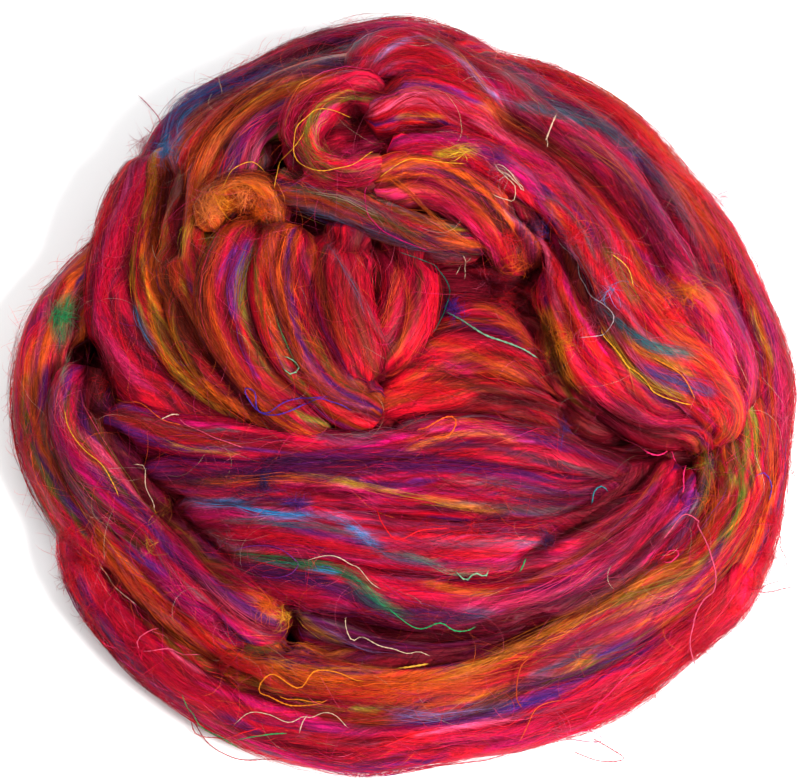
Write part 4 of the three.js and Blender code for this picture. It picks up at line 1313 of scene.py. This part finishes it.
def clump_lines(rng, fold, clumps):
    """Where the fibres of a fold's clumps run: the share, angle and lift of each point."""
    rows, columns = fold.CELLS
    weights = fold.cell_weights().ravel()
    cell = rng.choice(rows * columns, clumps, p=weights / weights.sum())
    cell_share, _ = fold.cell_middles()
    middle = cell_share.ravel()[cell] + rng.uniform(-0.5, 0.5, clumps) / rows
    turn = (cell % columns + rng.uniform(0, 1, clumps)) / columns * TURN
    length = np.minimum(rng.uniform(*CLUMP_LENGTH, clumps), LONGEST_CLUMP * fold.length)
    half = length / fold.length / 2
    middle = np.clip(middle, half, 1 - half)
    slant = rng.normal(0, CLUMP_SLANT, clumps)
    width = rng.uniform(*CLUMP_WIDTH, clumps)
    base = rng.uniform(*CLUMP_BASE, clumps)
    bend = rng.normal(0, CLUMP_BEND, clumps)

    owner = np.repeat(np.arange(clumps), FIBRES_IN_CLUMP)
    fibres = len(owner)
    t = np.linspace(-0.5, 0.5, FIBRE_POINTS)[None, :]
    whole = length[owner]
    own = whole * rng.uniform(*FIBRE_SHARE, fibres)
    slide = (whole - own) * rng.uniform(-0.5, 0.5, fibres)
    along = slide[:, None] + t * own[:, None]
    share = middle[owner][:, None] + along / fold.length
    off = rng.normal(0, FIBRE_SPREAD, fibres)[:, None] * width[owner][:, None]
    off = off * (1 - CLUMP_NARROWING * (2 * along / whole[:, None]) ** 2)
    wander = rng.uniform(*FIBRE_WANDER, fibres)[:, None]
    phase = rng.uniform(0, TURN, (2, fibres, 1))
    pitch = rng.uniform(*WANDER_PITCH, fibres)[:, None]
    off = off + wander * (np.sin(wave(along, pitch) + phase[0]) + np.sin(wave(along, LONG_PITCH) + phase[1]))
    off = off + slant[owner][:, None] * along + rng.normal(0, FIBRE_SLANT, fibres)[:, None] * along
    off = off + bend[owner][:, None] * np.cos(wave(along, CLUMP_BEND_PITCH * whole[:, None]))
    angle = turn[owner][:, None] + off / fold.radius
    lift = base[owner] + rng.uniform(0, CLUMP_DEPTH, fibres)
    return share, angle, lift[:, None] - END_DIP * np.abs(2 * t) ** 4


def fold_fibres(rng, nest, fold, count):
    """Clumps of fibre along one fold: their paths, radii, colours and light on each point."""
    share, angle, lift = clump_lines(rng, fold, max(LEAST_CLUMPS, round(count / FIBRES_IN_CLUMP)))
    fibres = len(share)
    openness = fold.open_at(share, angle)
    shows = openness.max(axis=1) > FIBRE_OPENNESS
    paths, dark = fold.place(share, angle, lift)
    flat = share.ravel(), angle.ravel()
    second = np.repeat(rng.random(fibres) < SECOND_COLOUR_SHARE, FIBRE_POINTS)
    own = np.where(second[:, None], fold.colour(fold.second, *flat), fold.colour(fold.main, *flat))
    colours = paint_streaks(nest, paths.reshape(-1, 3), own).reshape(paths.shape)
    odd = rng.random(fibres) < ODD_COLOUR_SHARE
    colours[odd] = pick_colours(rng, fold.palette, odd.sum())[:, None]
    colours = vary(rng, colours, "fold")
    radii = rng.uniform(*FIBRE_RADIUS, fibres)
    return paths[shows], radii[shows], colours[shows], shade(openness, dark)[shows]


def paint_streaks(nest, points, colours):
    """Lays each streak's colour on the fibre that the camera sees along its line."""
    back = points - EYE
    near = np.array([distance for _, _, _, distance in nest.from_eye(unit(back))], float)
    shown = np.flatnonzero(np.linalg.norm(back, axis=1) < near + PAINT_DEPTH)
    picture = in_picture(points)[shown]
    for colour, width, fullness, pixels in STREAKS:
        line = smooth_line(picture_place(pixels), PAINT_SPAN)
        broad = width * PIXEL
        close, off, place = near_line(picture, line, broad)
        if len(close) == 0:
            continue
        share = np.exp(-(off / (PAINT_CORE * broad)) ** 2) * fading(place, PAINT_ENDS)
        share = share * min(FULLEST_PAINT, PAINT_STRENGTH * fullness)
        chosen = shown[close]
        colours[chosen] += (NAMED[colour] - colours[chosen]) * share[:, None]
    return colours


def drape(nest, picture, lift, sag=SAG):
    """Lines on what the camera sees, and the light on them: picture is (lines, points, 2)."""
    lines, points, _ = picture.shape
    sight, far, normals, light_on = nest.shown_at(picture.reshape(-1, 2))
    far = far.reshape(lines, points)
    for _ in range(SAG_ROUNDS):
        inner = (far[:, :-2] + far[:, 2:]) / 2 + sag
        far[:, 1:-1] = np.minimum(far[:, 1:-1], inner)
    normals = normals.reshape(lines, points, 3)
    for _ in range(NORMAL_ROUNDS):
        normals[:, 1:-1] = unit(normals[:, :-2] + 2 * normals[:, 1:-1] + normals[:, 2:])
    placed = EYE + sight.reshape(lines, points, 3) * far[..., None] + normals * lift[..., None]
    keep_above(placed)
    return placed, light_on.reshape(lines, points)


def unbroken(paths):
    """Which lines have no long step from one fold down to another."""
    return np.linalg.norm(np.diff(paths, axis=1), axis=2).max(axis=1) < LONGEST_STEP


def streak_fibres(rng, nest, colour, width, fullness, pixels):
    """Fibres of one colour beside each other along a line of the picture."""
    line = smooth_line(picture_place(pixels))
    along = distances(line)
    whole = along[-1]
    broad = width * PIXEL
    count = max(STREAK_FIBRES_AT_LEAST, round(fullness * whole * broad / STREAK_AREA_PER_FIBRE))
    length = np.minimum(rng.uniform(*STREAK_LENGTH, count), whole)
    start = rng.uniform(*STREAK_START, count) * (whole - length)
    t = np.linspace(0, 1, FIBRE_POINTS)[None, :]
    at = np.clip(start[:, None] + t * length[:, None], 0, whole)
    across = unit(np.gradient(line, axis=0))[:, ::-1] * np.array([-1.0, 1.0])
    middle = np.sin(math.pi * np.clip(at / whole, 0, 1)) ** STREAK_ENDS_POWER
    envelope = STREAK_ENDS + (1 - STREAK_ENDS) * middle
    offset = rng.normal(0, STREAK_SPREAD, count)[:, None] * broad * envelope
    offset = offset + STREAK_SWAY * np.sin(wave(at, STREAK_PITCH) + rng.uniform(0, TURN, (count, 1)))
    offset = offset + rng.normal(0, STREAK_SLANT, (count, 1)) * (at - at.mean(axis=1, keepdims=True))
    picture = look_up(at, along, line) + look_up(at, along, across) * offset[..., None]
    lift = rng.uniform(*STREAK_LIFT, count)[:, None] - END_DIP * np.abs(2 * t - 1) ** 4
    paths, light_on = drape(nest, picture, lift)
    colours = one_colour(rng, colour, count, "streak")
    radii = rng.uniform(*FIBRE_RADIUS, count)
    kept = unbroken(paths)
    return paths[kept], radii[kept], colours[kept], light_on[kept] ** STREAK_LIGHT_POWER


def wandering(rng, start, heading, curl, change, step, points):
    """Lines in a plane that set out this way and curl more or less as they go."""
    lines = np.empty((len(start), points, 2))
    lines[:, 0] = start
    for point in range(1, points):
        towards = np.stack([np.cos(heading), np.sin(heading)], axis=-1)
        lines[:, point] = lines[:, point - 1] + step[:, None] * towards
        curl = curl + rng.normal(0, change, len(start))
        heading = heading + curl * step
    return lines


def tangle_fibres(rng, nest, colour, count, spread, pixel):
    """Short curled fibres round one place."""
    middle = picture_place([pixel])[0]
    length = rng.uniform(*TANGLE_LENGTH, count)
    heading = rng.uniform(0, TURN, count)
    curl = rng.normal(0, TANGLE_CURL, count)
    start = middle + rng.normal(0, TANGLE_SPREAD * spread * PIXEL, (count, 2))
    step = length / (FIBRE_POINTS - 1)
    picture = wandering(rng, start, heading, curl, TANGLE_CURL_CHANGE, step, FIBRE_POINTS)
    picture -= TANGLE_GATHERING * (picture.mean(axis=1, keepdims=True) - middle)
    lift = TANGLE_LIFT + rng.gamma(*TANGLE_LIFT_GAMMA, (count, 1))
    lift = lift + rng.uniform(*TANGLE_LIFT_RANGE, (count, FIBRE_POINTS))
    paths, light_on = drape(nest, picture, lift)
    colours = one_colour(rng, colour, count, "tangle")
    radii = rng.uniform(*TANGLE_RADIUS, count)
    kept = unbroken(paths)
    return paths[kept], radii[kept], colours[kept], light_on[kept] ** LOOSE_LIGHT_POWER


def stray_fibres(rng, nest):
    """Loose fibres that wander over the folds and stand a little off them."""
    count, points = STRAY_FIBRES, STRAY_POINTS
    weights = np.array([fold.openness.sum() * fold.length for fold in nest.folds])
    chosen = rng.choice(len(nest.folds), count, p=weights / weights.sum())
    step = rng.uniform(*STRAY_LENGTH, count) / (points - 1)
    start = np.empty((count, 2))
    heading = np.empty(count)
    for number in np.unique(chosen):
        fold = nest.folds[number]
        own = np.flatnonzero(chosen == number)
        share = rng.random(len(own))
        angle = rng.uniform(*STRAY_ANGLES, len(own))
        start[own] = fold.bare(share, angle)[:, :2]
        tangent = look_up(share, fold.shares, fold.tangent)
        heading[own] = np.arctan2(tangent[:, 1], tangent[:, 0])
    heading += rng.normal(0, STRAY_TURN, count) + math.pi * (rng.random(count) < 0.5)
    curl = rng.normal(0, STRAY_CURL, count)
    plan = wandering(rng, start, heading, curl, STRAY_CURL_CHANGE, step, points)
    stay_within_reach(plan)
    heights, light_on = nest.height_at(plan.reshape(-1, 2))
    heights = heights.reshape(count, points)
    light_on = light_on.reshape(count, points)
    inside = (heights > ON_THE_NEST).sum(axis=1) > points - 2
    lift = rng.gamma(*STRAY_LIFT_GAMMA, count)[:, None]
    fall = STRAY_FALL * step
    for point in range(1, points):
        heights[:, point] = np.maximum(heights[:, point], heights[:, point - 1] - fall)
    for point in range(points - 2, -1, -1):
        heights[:, point] = np.maximum(heights[:, point], heights[:, point + 1] - fall)
    heights[:, 1:-1] = np.maximum(heights[:, 1:-1], (heights[:, :-2] + heights[:, 2:]) / 2)
    paths = np.dstack([plan, heights + lift + STRAY_LIFT])
    # Painted highlight: stray fibre colours are brightened beyond their dye.
    colours = STRAY_PAINTED_HIGHLIGHT * vary(rng, pick_colours(rng, STRAY_PALETTE, count), "stray")
    colours = np.minimum(colours, BRIGHTEST)
    radii = rng.uniform(*STRAY_RADIUS, count)
    return paths[inside], radii[inside], colours[inside], light_on[inside] ** LOOSE_LIGHT_POWER


def rim_fuzz(rng, nest):
    """Short fine fibre that stands out from the lowest turn, all round the nest."""
    count, points = FUZZ_FIBRES, FUZZ_POINTS
    rim = [fold for fold in nest.folds if fold.name.startswith("rim")]
    lengths = np.array([fold.length for fold in rim])
    chosen = rng.choice(len(rim), count, p=lengths / lengths.sum())
    length = rng.uniform(*FUZZ_LENGTH, count)
    t = np.linspace(0, 1, points)[None, :, None]
    half_way = np.array([0.5])
    paths = np.empty((count, points, 3))
    for number in np.unique(chosen):
        fold = rim[number]
        own = np.flatnonzero(chosen == number)
        many = len(own)
        middle = look_up(half_way, fold.shares, fold.middle)[0] - AIM
        side = look_up(half_way, fold.shares, fold.side)[0]
        rise = rng.uniform(*FUZZ_RISE, many)
        angle = math.pi - rise if side @ middle > 0 else rise
        share = rng.uniform(*FUZZ_SHARE, many)
        out = fold.normal(share, angle)
        tangent = look_up(share, fold.shares, fold.tangent) * rng.choice((-1, 1), (many, 1))
        lean = rng.uniform(*FUZZ_LEAN, (many, 1))
        heading = unit(tangent + lean * out + rng.normal(0, FUZZ_SCATTER, (many, 3)))
        span = length[own, None, None]
        curve = np.sin(wave(t, FUZZ_CURVE_PITCH) + rng.uniform(*FUZZ_CURVE_PHASE, (many, 1, 1)))
        curve = curve * rng.uniform(*FUZZ_CURVE, (many, 1, 1))
        bend = rng.normal(0, FUZZ_BEND, (many, 1, 1)) * span * t**2
        start = fold.bare(share, angle)
        paths[own] = start[:, None] + span * t * heading[:, None] + (curve + bend) * out[:, None]
    keep_above(paths)
    stay_within_reach(paths[..., :2])
    # Painted light: rim fuzz colours are brightened, and every point gets full light with no painted shade.
    colours = vary(rng, pick_colours(rng, FUZZ_PALETTE, count), "fuzz") * FUZZ_PAINTED_LIGHT
    colours = np.minimum(colours, BRIGHTEST)
    return paths, rng.uniform(*FUZZ_RADIUS, count), colours, np.ones((count, points))


def stay_within_reach(plan):
    """Keeps stray fibre within a few millimetres of the nest's outline."""
    centre = AIM[:2]
    out = plan - centre
    far = np.linalg.norm(out, axis=-1, keepdims=True)
    plan[:] = centre + out * np.minimum(1, FARTHEST / np.maximum(far, 1e-6))


# Meshes

HALVES = ([0, 1, 2], [0, 2, 3])


def tube_pattern(inner, sides):
    """Triangles of one pointed tube, with the place of each corner on the tube's own map."""
    tip = inner * sides + 1
    faces, uvs = [], []
    for here in range(sides):
        after = (here + 1) % sides
        u0, u1 = here / sides, (here + 1) / sides
        faces.append((0, 1 + after, 1 + here))
        uvs.append(((u0, 0), (u1, 1), (u0, 1)))
        for ring in range(inner - 1):
            a = 1 + ring * sides
            b = a + sides
            v0, v1 = ring + 1, ring + 2
            faces.append((a + here, a + after, b + after))
            uvs.append(((u0, v0), (u1, v0), (u1, v1)))
            faces.append((a + here, b + after, b + here))
            uvs.append(((u0, v0), (u1, v1), (u0, v1)))
        last = 1 + (inner - 1) * sides
        faces.append((last + here, last + after, tip))
        uvs.append(((u0, inner), (u1, inner), (u0, inner + 1)))
    uvs = np.array(uvs, float)
    uvs[..., 1] /= inner + 1
    return np.array(faces), uvs


def tubes(paths, radii, colours, light_on, sides=3):
    """Thin closed tubes with pointed ends: vertices, triangles, vertex colours and corner UVs."""
    count, points, _ = paths.shape
    colours = np.broadcast_to(colours.reshape(count, -1, 3), paths.shape)
    tangent = unit(np.gradient(paths, axis=1))
    guide = np.where(np.abs(tangent[..., 2:]) > STEEP, RIGHT, UP)
    side = unit(np.cross(guide, tangent))
    top = np.cross(tangent, side)
    inner = points - 2
    turn = np.linspace(0, TURN, sides, endpoint=False)
    taper = np.sin(math.pi * np.linspace(*TAPER, inner)) ** 0.5
    size = radii[:, None] * taper
    offset = side[:, 1:-1, None] * np.cos(turn)[:, None] + top[:, 1:-1, None] * np.sin(turn)[:, None]
    rings = paths[:, 1:-1, None] + offset * size[:, :, None, None]
    vertices = np.concatenate([paths[:, :1], rings.reshape(count, -1, 3), paths[:, -1:]], axis=1)
    tint = lit(colours, light_on[..., None])
    ring_tint = np.repeat(tint[:, 1:-1], sides, axis=1)
    tint = np.concatenate([tint[:, :1], ring_tint, tint[:, -1:]], axis=1)

    faces, uvs = tube_pattern(inner, sides)
    triangles = faces[None] + (np.arange(count) * vertices.shape[1])[:, None, None]
    columns = max(1, math.ceil(math.sqrt(count * 3)))
    lines = math.ceil(count / columns)
    cell = np.stack([np.arange(count) % columns, np.arange(count) // columns], axis=-1)
    inset = uvs * TUBE_MAP_FILL + (1 - TUBE_MAP_FILL) / 2
    corner = (inset[None] + cell[:, None, None]) / np.array([columns, lines])
    return vertices.reshape(-1, 3), triangles.reshape(-1, 3), tint.reshape(-1, 3), corner.reshape(-1, 2)


def mesh_object(name, vertices, triangles, tints, uv, material, grain=None):
    """One piece of the scene, with its vertex colours and its map."""
    mesh = bpy.data.meshes.new(name)
    corners = triangles.size
    mesh.vertices.add(len(vertices))
    mesh.vertices.foreach_set("co", (vertices * MM).astype(np.float32).ravel())
    mesh.loops.add(corners)
    mesh.loops.foreach_set("vertex_index", triangles.astype(np.int32).ravel())
    mesh.polygons.add(len(triangles))
    mesh.polygons.foreach_set("loop_start", np.arange(0, corners, 3, dtype=np.int32))
    mesh.polygons.foreach_set("use_smooth", np.ones(len(triangles), bool))
    mesh.update(calc_edges=True)
    for label, tint in tints.items():
        attribute = mesh.color_attributes.new(label, "FLOAT_COLOR", "POINT")
        values = np.ones((len(vertices), 4), np.float32)
        values[:, :3] = tint
        attribute.data.foreach_set("color", values.ravel())
    if grain is not None:
        attribute = mesh.attributes.new("grain", "FLOAT_VECTOR", "POINT")
        attribute.data.foreach_set("vector", grain.astype(np.float32).ravel())
    layer = mesh.uv_layers.new(name="OFBake")
    layer.data.foreach_set("uv", uv.astype(np.float32).ravel())
    mesh.materials.append(material)
    piece = bpy.data.objects.new(name, mesh)
    bpy.context.collection.objects.link(piece)
    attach(piece, "root")
    return piece


def fibre_piece(name, sets, material):
    """Fibres with the same number of points, joined as one piece."""
    joined = []
    for paths, radii, colours, light_on in sets:
        if len(paths) > 0:
            each_point = np.broadcast_to(colours.reshape(len(paths), -1, 3), paths.shape)
            joined.append((paths, radii, each_point, light_on))
    vertices, triangles, tint, uv = tubes(*(np.concatenate(column) for column in zip(*joined)))
    mesh_object(name, vertices, triangles, {"tint": tint}, uv, material)


def skin_map(rings, sides):
    """The corners of a skin's quads on its own map."""
    ring = np.arange(rings - 1)[:, None] + np.zeros((1, sides))
    around = np.arange(sides)[None, :] + np.zeros((rings - 1, 1))
    u0, u1 = ring / (rings - 1), (ring + 1) / (rings - 1)
    v0, v1 = around / sides, (around + 1) / sides
    pairs = ((u0, v0), (u0, v1), (u1, v1), (u1, v0))
    return np.stack([np.stack(pair, axis=-1).reshape(-1, 2) for pair in pairs], axis=1)


def fold_piece(nest, material):
    """The skins of all the folds and of the heap below them, as one piece."""
    vertices, triangles, mains, seconds, grains, darks, uvs = [], [], [], [], [], [], []
    first = 0
    (sway, pitch), (small_sway, short_pitch) = GRAIN_SWAYS
    room = np.array([MAP_COLUMNS, math.ceil((len(nest.folds) + 1) / MAP_COLUMNS)])

    def on_map(places, order):
        cell = np.array([order % MAP_COLUMNS, order // MAP_COLUMNS])
        return (places * MAP_FILL + (1 - MAP_FILL) / 2 + cell) / room

    for order, (fold, (skin, share, angle, dark)) in enumerate(zip(nest.folds, nest.skins)):
        rings, sides, _ = skin.shape
        quads = tube_faces(rings, sides, first)
        corners = on_map(skin_map(rings, sides), order)
        for half in HALVES:
            triangles.append(quads[:, half])
            uvs.append(corners[:, half].reshape(-1, 2))
        vertices.append(skin.reshape(-1, 3))
        share, angle = share.ravel(), angle.ravel()
        mains.append(fold.colour(fold.main, share, angle))
        seconds.append(fold.colour(fold.second, share, angle))
        along = share * fold.length
        twist = angle + sway * np.sin(wave(along, pitch) + order)
        twist = twist + small_sway * np.sin(wave(along, short_pitch))
        grain = (along * GRAIN_STRETCH + GRAIN_STEP * order, fold.radius * np.cos(twist),
                 fold.radius * np.sin(twist))
        grains.append(np.stack(grain, axis=-1))
        darks.append(shade(fold.open_at(share, angle), dark.ravel()))
        first += rings * sides

    points, quads, fans = heap_mesh()
    spread = on_map(points[:, :2] / (HEAP_MAP * HEAP["radius"]) + 0.5, len(nest.folds))
    heap_faces = [quads[:, half] for half in HALVES]
    for fan in fans:
        heap_faces.append(np.stack([np.full(len(fan) - 2, fan[0]), fan[1:-1], fan[2:]], axis=-1))
    for faces in heap_faces:
        triangles.append(faces + first)
        uvs.append(spread[faces].reshape(-1, 2))
    vertices.append(points)
    mains.append(np.tile(NAMED["wine"], (len(points), 1)))
    seconds.append(np.tile(NAMED["maroon"], (len(points), 1)))
    grains.append(points * np.array([GRAIN_STRETCH, 1.0, 1.0]))
    darks.append(np.full(len(points), HEAP_LIGHT))

    vertices = np.vstack(vertices)
    dark = np.concatenate(darks)[:, None]
    # Painted shade: the skin is darkened where fibre lies over it, and by the openness and hollow shade in
    # dark.
    main = SKIN_SHADE_UNDER_FIBRE * paint_streaks(nest, vertices, np.vstack(mains))
    tints = {"tint": lit(main, dark), "second": lit(SKIN_SHADE_UNDER_FIBRE * np.vstack(seconds), dark)}
    piece = mesh_object("silk_folds", vertices, np.vstack(triangles), tints, np.vstack(uvs), material,
                        np.vstack(grains))
    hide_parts("silk_nest")


def thread_piece(rng, nest, material):
    """The bits of spun thread, each of two strands twisted round each other."""
    parts = []
    first = 0
    for colour, radius, lift, pixels in THREADS:
        line = smooth_line(picture_place(pixels))
        along = distances(line)
        points = max(THREAD_POINTS, round(along[-1] / THREAD_STEP))
        at = np.linspace(0, along[-1], points)
        picture = look_up(at, along, line)[None]
        path, _ = drape(nest, picture, np.full((1, points), lift), sag=THREAD_SAG)
        strands = []
        for turn in (0.0, math.pi):
            spin = wave(at, THREAD_TWIST[0] * radius + THREAD_TWIST[1]) + turn
            offset = np.stack([np.cos(spin), np.sin(spin), 0.5 * np.sin(spin)], axis=-1) * radius * 0.5
            strands.append(path[0] + offset)
        strands = np.array(strands)
        keep_above(strands, radius)
        colours = one_colour(rng, colour, 2, "thread")
        bright = np.ones((2, points))
        made = tubes(strands, np.full(2, radius * THREAD_STRAND), colours, bright, sides=THREAD_SIDES)
        parts.append((made[0], made[1] + first, made[2], made[3]))
        first += len(made[0])
    columns = math.ceil(math.sqrt(len(parts)))
    vertices, triangles, tint = (np.vstack([part[column] for part in parts]) for column in range(3))
    cells = [(part[3] + np.array([index % columns, index // columns])) / columns
             for index, part in enumerate(parts)]
    mesh_object("spun_threads", vertices, triangles, {"tint": tint}, np.vstack(cells), material)


# Materials

class Surface:
    """A material, and the few kinds of node that the looks here are made with."""

    def __init__(self, name):
        self.material = bpy.data.materials.new(name)
        self.material.use_nodes = True
        self.nodes = self.material.node_tree.nodes
        self.shader = self.nodes["Principled BSDF"]

    def feed(self, node, label, value):
        """Sets an input to a value, or links it to another node's output."""
        if isinstance(value, bpy.types.NodeSocket):
            self.material.node_tree.links.new(value, node.inputs[label])
        else:
            node.inputs[label].default_value = value

    def add(self, kind, inputs):
        node = self.nodes.new(kind)
        for label, value in inputs.items():
            self.feed(node, label, value)
        return node

    def attribute(self, label, result="Color"):
        node = self.nodes.new("ShaderNodeAttribute")
        node.attribute_name = label
        return node.outputs[result]

    def noise(self, place, scale, detail):
        node = self.add("ShaderNodeTexNoise", {"Vector": place, "Scale": scale, "Detail": detail})
        return node.outputs["Fac"]

    def spread(self, source, low, high, start=0.3, stop=0.7):
        """A value stretched from start..stop to low..high."""
        ends = {"Value": source, "From Min": start, "From Max": stop, "To Min": low, "To Max": high}
        return self.add("ShaderNodeMapRange", ends).outputs["Result"]

    def calculate(self, operation, *values):
        node = self.add("ShaderNodeMath", dict(enumerate(values)))
        node.operation = operation
        return node.outputs["Value"]

    def scaled(self, colour, factor):
        node = self.nodes.new("ShaderNodeVectorMath")
        node.operation = "SCALE"
        self.feed(node, 0, colour)
        self.feed(node, "Scale", factor)
        return node.outputs["Vector"]

    def stretched(self, place, stretch):
        node = self.add("ShaderNodeVectorMath", {0: place, 1: (stretch, 1.0, 1.0)})
        node.operation = "MULTIPLY"
        return node.outputs["Vector"]

    def bump(self, source, strength, height):
        node = self.add("ShaderNodeBump", {"Height": source, "Strength": strength, "Distance": height * MM})
        self.feed(self.shader, "Normal", node.outputs["Normal"])

    def shine(self, roughness):
        """The red sheen of silk."""
        self.feed(self.shader, "IOR", SHINE_INDEX)
        self.feed(self.shader, "Specular IOR Level", SHINE_LEVEL)
        self.feed(self.shader, "Specular Tint", SHINE_TINT)
        self.feed(self.shader, "Roughness", roughness)

    def hair_lines(self, place, stretch, scale, width):
        """Thin wandering lines, where a noise passes its middle value."""
        noise = self.noise(self.stretched(place, stretch), scale, 1)
        off = self.calculate("ABSOLUTE", self.calculate("SUBTRACT", noise, 0.5))
        return self.spread(off, 1.0, 0.0, 0.0, width)


def silk_material(name, roughness, grain, bump):
    """Silk: the fibre's own colour, uneven along it, with a soft shine."""
    surface = Surface(name)
    place = surface.nodes.new("ShaderNodeTexCoord").outputs["Object"]
    noise = surface.noise(place, grain, 3)
    colour = surface.scaled(surface.attribute("tint"), surface.spread(noise, *FIBRE_TONES))
    surface.feed(surface.shader, "Base Color", colour)
    surface.shine(surface.spread(noise, *roughness, 0.0, 1.0))
    surface.bump(surface.noise(place, grain * FIBRE_FINENESS, 2), FIBRE_BUMP_STRENGTH, bump)
    return surface.material


def fold_material():
    """Combed silk seen whole: fine lines of two colours along the fold, raised a little."""
    surface = Surface("silk_fold")
    grain = surface.attribute("grain", "Vector")
    mixing, fine, broad = (surface.noise(grain, scale, detail) for scale, detail in FOLD_NOISES)
    mix = surface.nodes.new("ShaderNodeMix")
    mix.data_type = "RGBA"
    surface.feed(mix, "Factor", surface.spread(mixing, *FOLD_SECOND_COLOUR))
    surface.feed(mix, "A", surface.attribute("tint"))
    surface.feed(mix, "B", surface.attribute("second"))
    fine_light = surface.spread(fine, *FOLD_FINE_TONES)
    bright = surface.calculate("MULTIPLY", fine_light, surface.spread(broad, *FOLD_BROAD_TONES))
    for stretch, scale, width in HAIR_LINES:
        line = surface.hair_lines(grain, stretch, scale, width)
        bright = surface.calculate("MULTIPLY_ADD", line, HAIR_LINE_STRENGTH, bright)
    surface.feed(surface.shader, "Base Color", surface.scaled(mix.outputs["Result"], bright))
    surface.shine(surface.spread(fine, *FOLD_ROUGHNESS))
    surface.bump(fine, *FOLD_BUMP)
    return surface.material


def floor_material():
    surface = Surface("pale_floor")
    surface.feed(surface.shader, "Roughness", FLOOR_ROUGHNESS)
    surface.feed(surface.shader, "Specular IOR Level", FLOOR_SHINE)
    noise = surface.add("ShaderNodeTexNoise", {"Scale": FLOOR_GRAIN})
    tone = surface.add("ShaderNodeValToRGB", {"Fac": noise.outputs["Fac"]})
    for element, colour in zip(tone.color_ramp.elements, FLOOR_TONES):
        element.color = colour
    surface.feed(surface.shader, "Base Color", tone.outputs["Color"])
    return surface.material


# Stage

def area_light(name, place, size, power, colour):
    data = bpy.data.lights.new(name, "AREA")
    data.shape = "DISK"
    data.size = size
    data.energy = power
    data.color = colour
    lamp = bpy.data.objects.new(name, data)
    lamp.location = place
    lamp.rotation_euler = (-Vector(place)).to_track_quat("-Z", "Y").to_euler()
    bpy.context.collection.objects.link(lamp)


def stage():
    """The pale floor, the lights and the camera of the photo."""
    corners = [(x * FLOOR_SIDE, y * FLOOR_SIDE, 0) for x, y in ((-1, -1), (1, -1), (1, 1), (-1, 1))]
    mesh = bpy.data.meshes.new("floor")
    mesh.from_pydata(corners, [], [(0, 1, 2, 3)])
    mesh.materials.append(floor_material())
    floor = bpy.data.objects.new("floor", mesh)
    bpy.context.collection.objects.link(floor)
    for name, settings in LIGHTS.items():
        area_light(name, *settings)
    world = bpy.data.worlds.new("studio")
    world.use_nodes = True
    background = world.node_tree.nodes["Background"]
    background.inputs["Color"].default_value = (1, 1, 1, 1)
    background.inputs["Strength"].default_value = ROOM_LIGHT
    bpy.context.scene.world = world
    camera_data = bpy.data.cameras.new("camera")
    camera_data.sensor_width = SENSOR_WIDTH
    camera_data.sensor_fit = "HORIZONTAL"
    camera_data.lens = SENSOR_WIDTH * DISTANCE / (PHOTO_SIZE[0] * PIXEL)
    camera = bpy.data.objects.new("camera", camera_data)
    camera.location = EYE * MM
    camera.rotation_euler = (math.pi / 2 - ELEVATION, 0, 0)
    bpy.context.collection.objects.link(camera)
    bpy.context.scene.camera = camera
    bpy.context.scene.view_settings.view_transform = "Standard"


def clothe_folds(rng, nest, material):
    """The clumps of fibre on all the folds, dealt out over a few pieces."""
    weights = []
    for fold in nest.folds:
        girth = math.pi * (fold.wide + fold.thick) / 2
        weights.append(fold.length * girth * fold.cell_weights().mean())
    weights = np.array(weights) / sum(weights)
    sets = [fold_fibres(rng, nest, fold, FIBRES * weight)
            for fold, weight in zip(nest.folds, weights) if weight > 0]
    whole = [np.concatenate(column) for column in zip(*sets)]
    order = np.arange(len(whole[0])) % FIBRE_PIECES
    for number in range(FIBRE_PIECES):
        share = [column[order == number] for column in whole]
        fibre_piece(f"silk_fibres_{number + 1}", [share], material)


def build():
    rng = np.random.default_rng(SEED)
    nest = Nest()
    fold_silk = fold_material()
    fibre_silk = silk_material("silk_fibre", **FIBRE_LOOK)
    thread_silk = silk_material("spun_thread", **THREAD_LOOK)
    fold_piece(nest, fold_silk)
    clothe_folds(rng, nest, fibre_silk)
    streaks = [streak_fibres(rng, nest, *row) for row in STREAKS]
    tangles = [tangle_fibres(rng, nest, *row) for row in TANGLES]
    fibre_piece("silk_streaks", streaks, fibre_silk)
    fibre_piece("silk_tangles", tangles, fibre_silk)
    fibre_piece("stray_fibres", [stray_fibres(rng, nest)], fibre_silk)
    fibre_piece("rim_fuzz", [rim_fuzz(rng, nest)], fibre_silk)
    thread_piece(rng, nest, thread_silk)


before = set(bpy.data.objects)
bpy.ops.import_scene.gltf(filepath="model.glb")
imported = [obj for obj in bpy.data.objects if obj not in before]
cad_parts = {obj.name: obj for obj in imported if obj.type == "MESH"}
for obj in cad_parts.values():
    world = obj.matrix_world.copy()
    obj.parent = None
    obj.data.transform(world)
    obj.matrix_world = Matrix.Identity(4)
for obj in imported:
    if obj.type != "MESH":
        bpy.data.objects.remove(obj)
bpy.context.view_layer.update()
stage()
build()
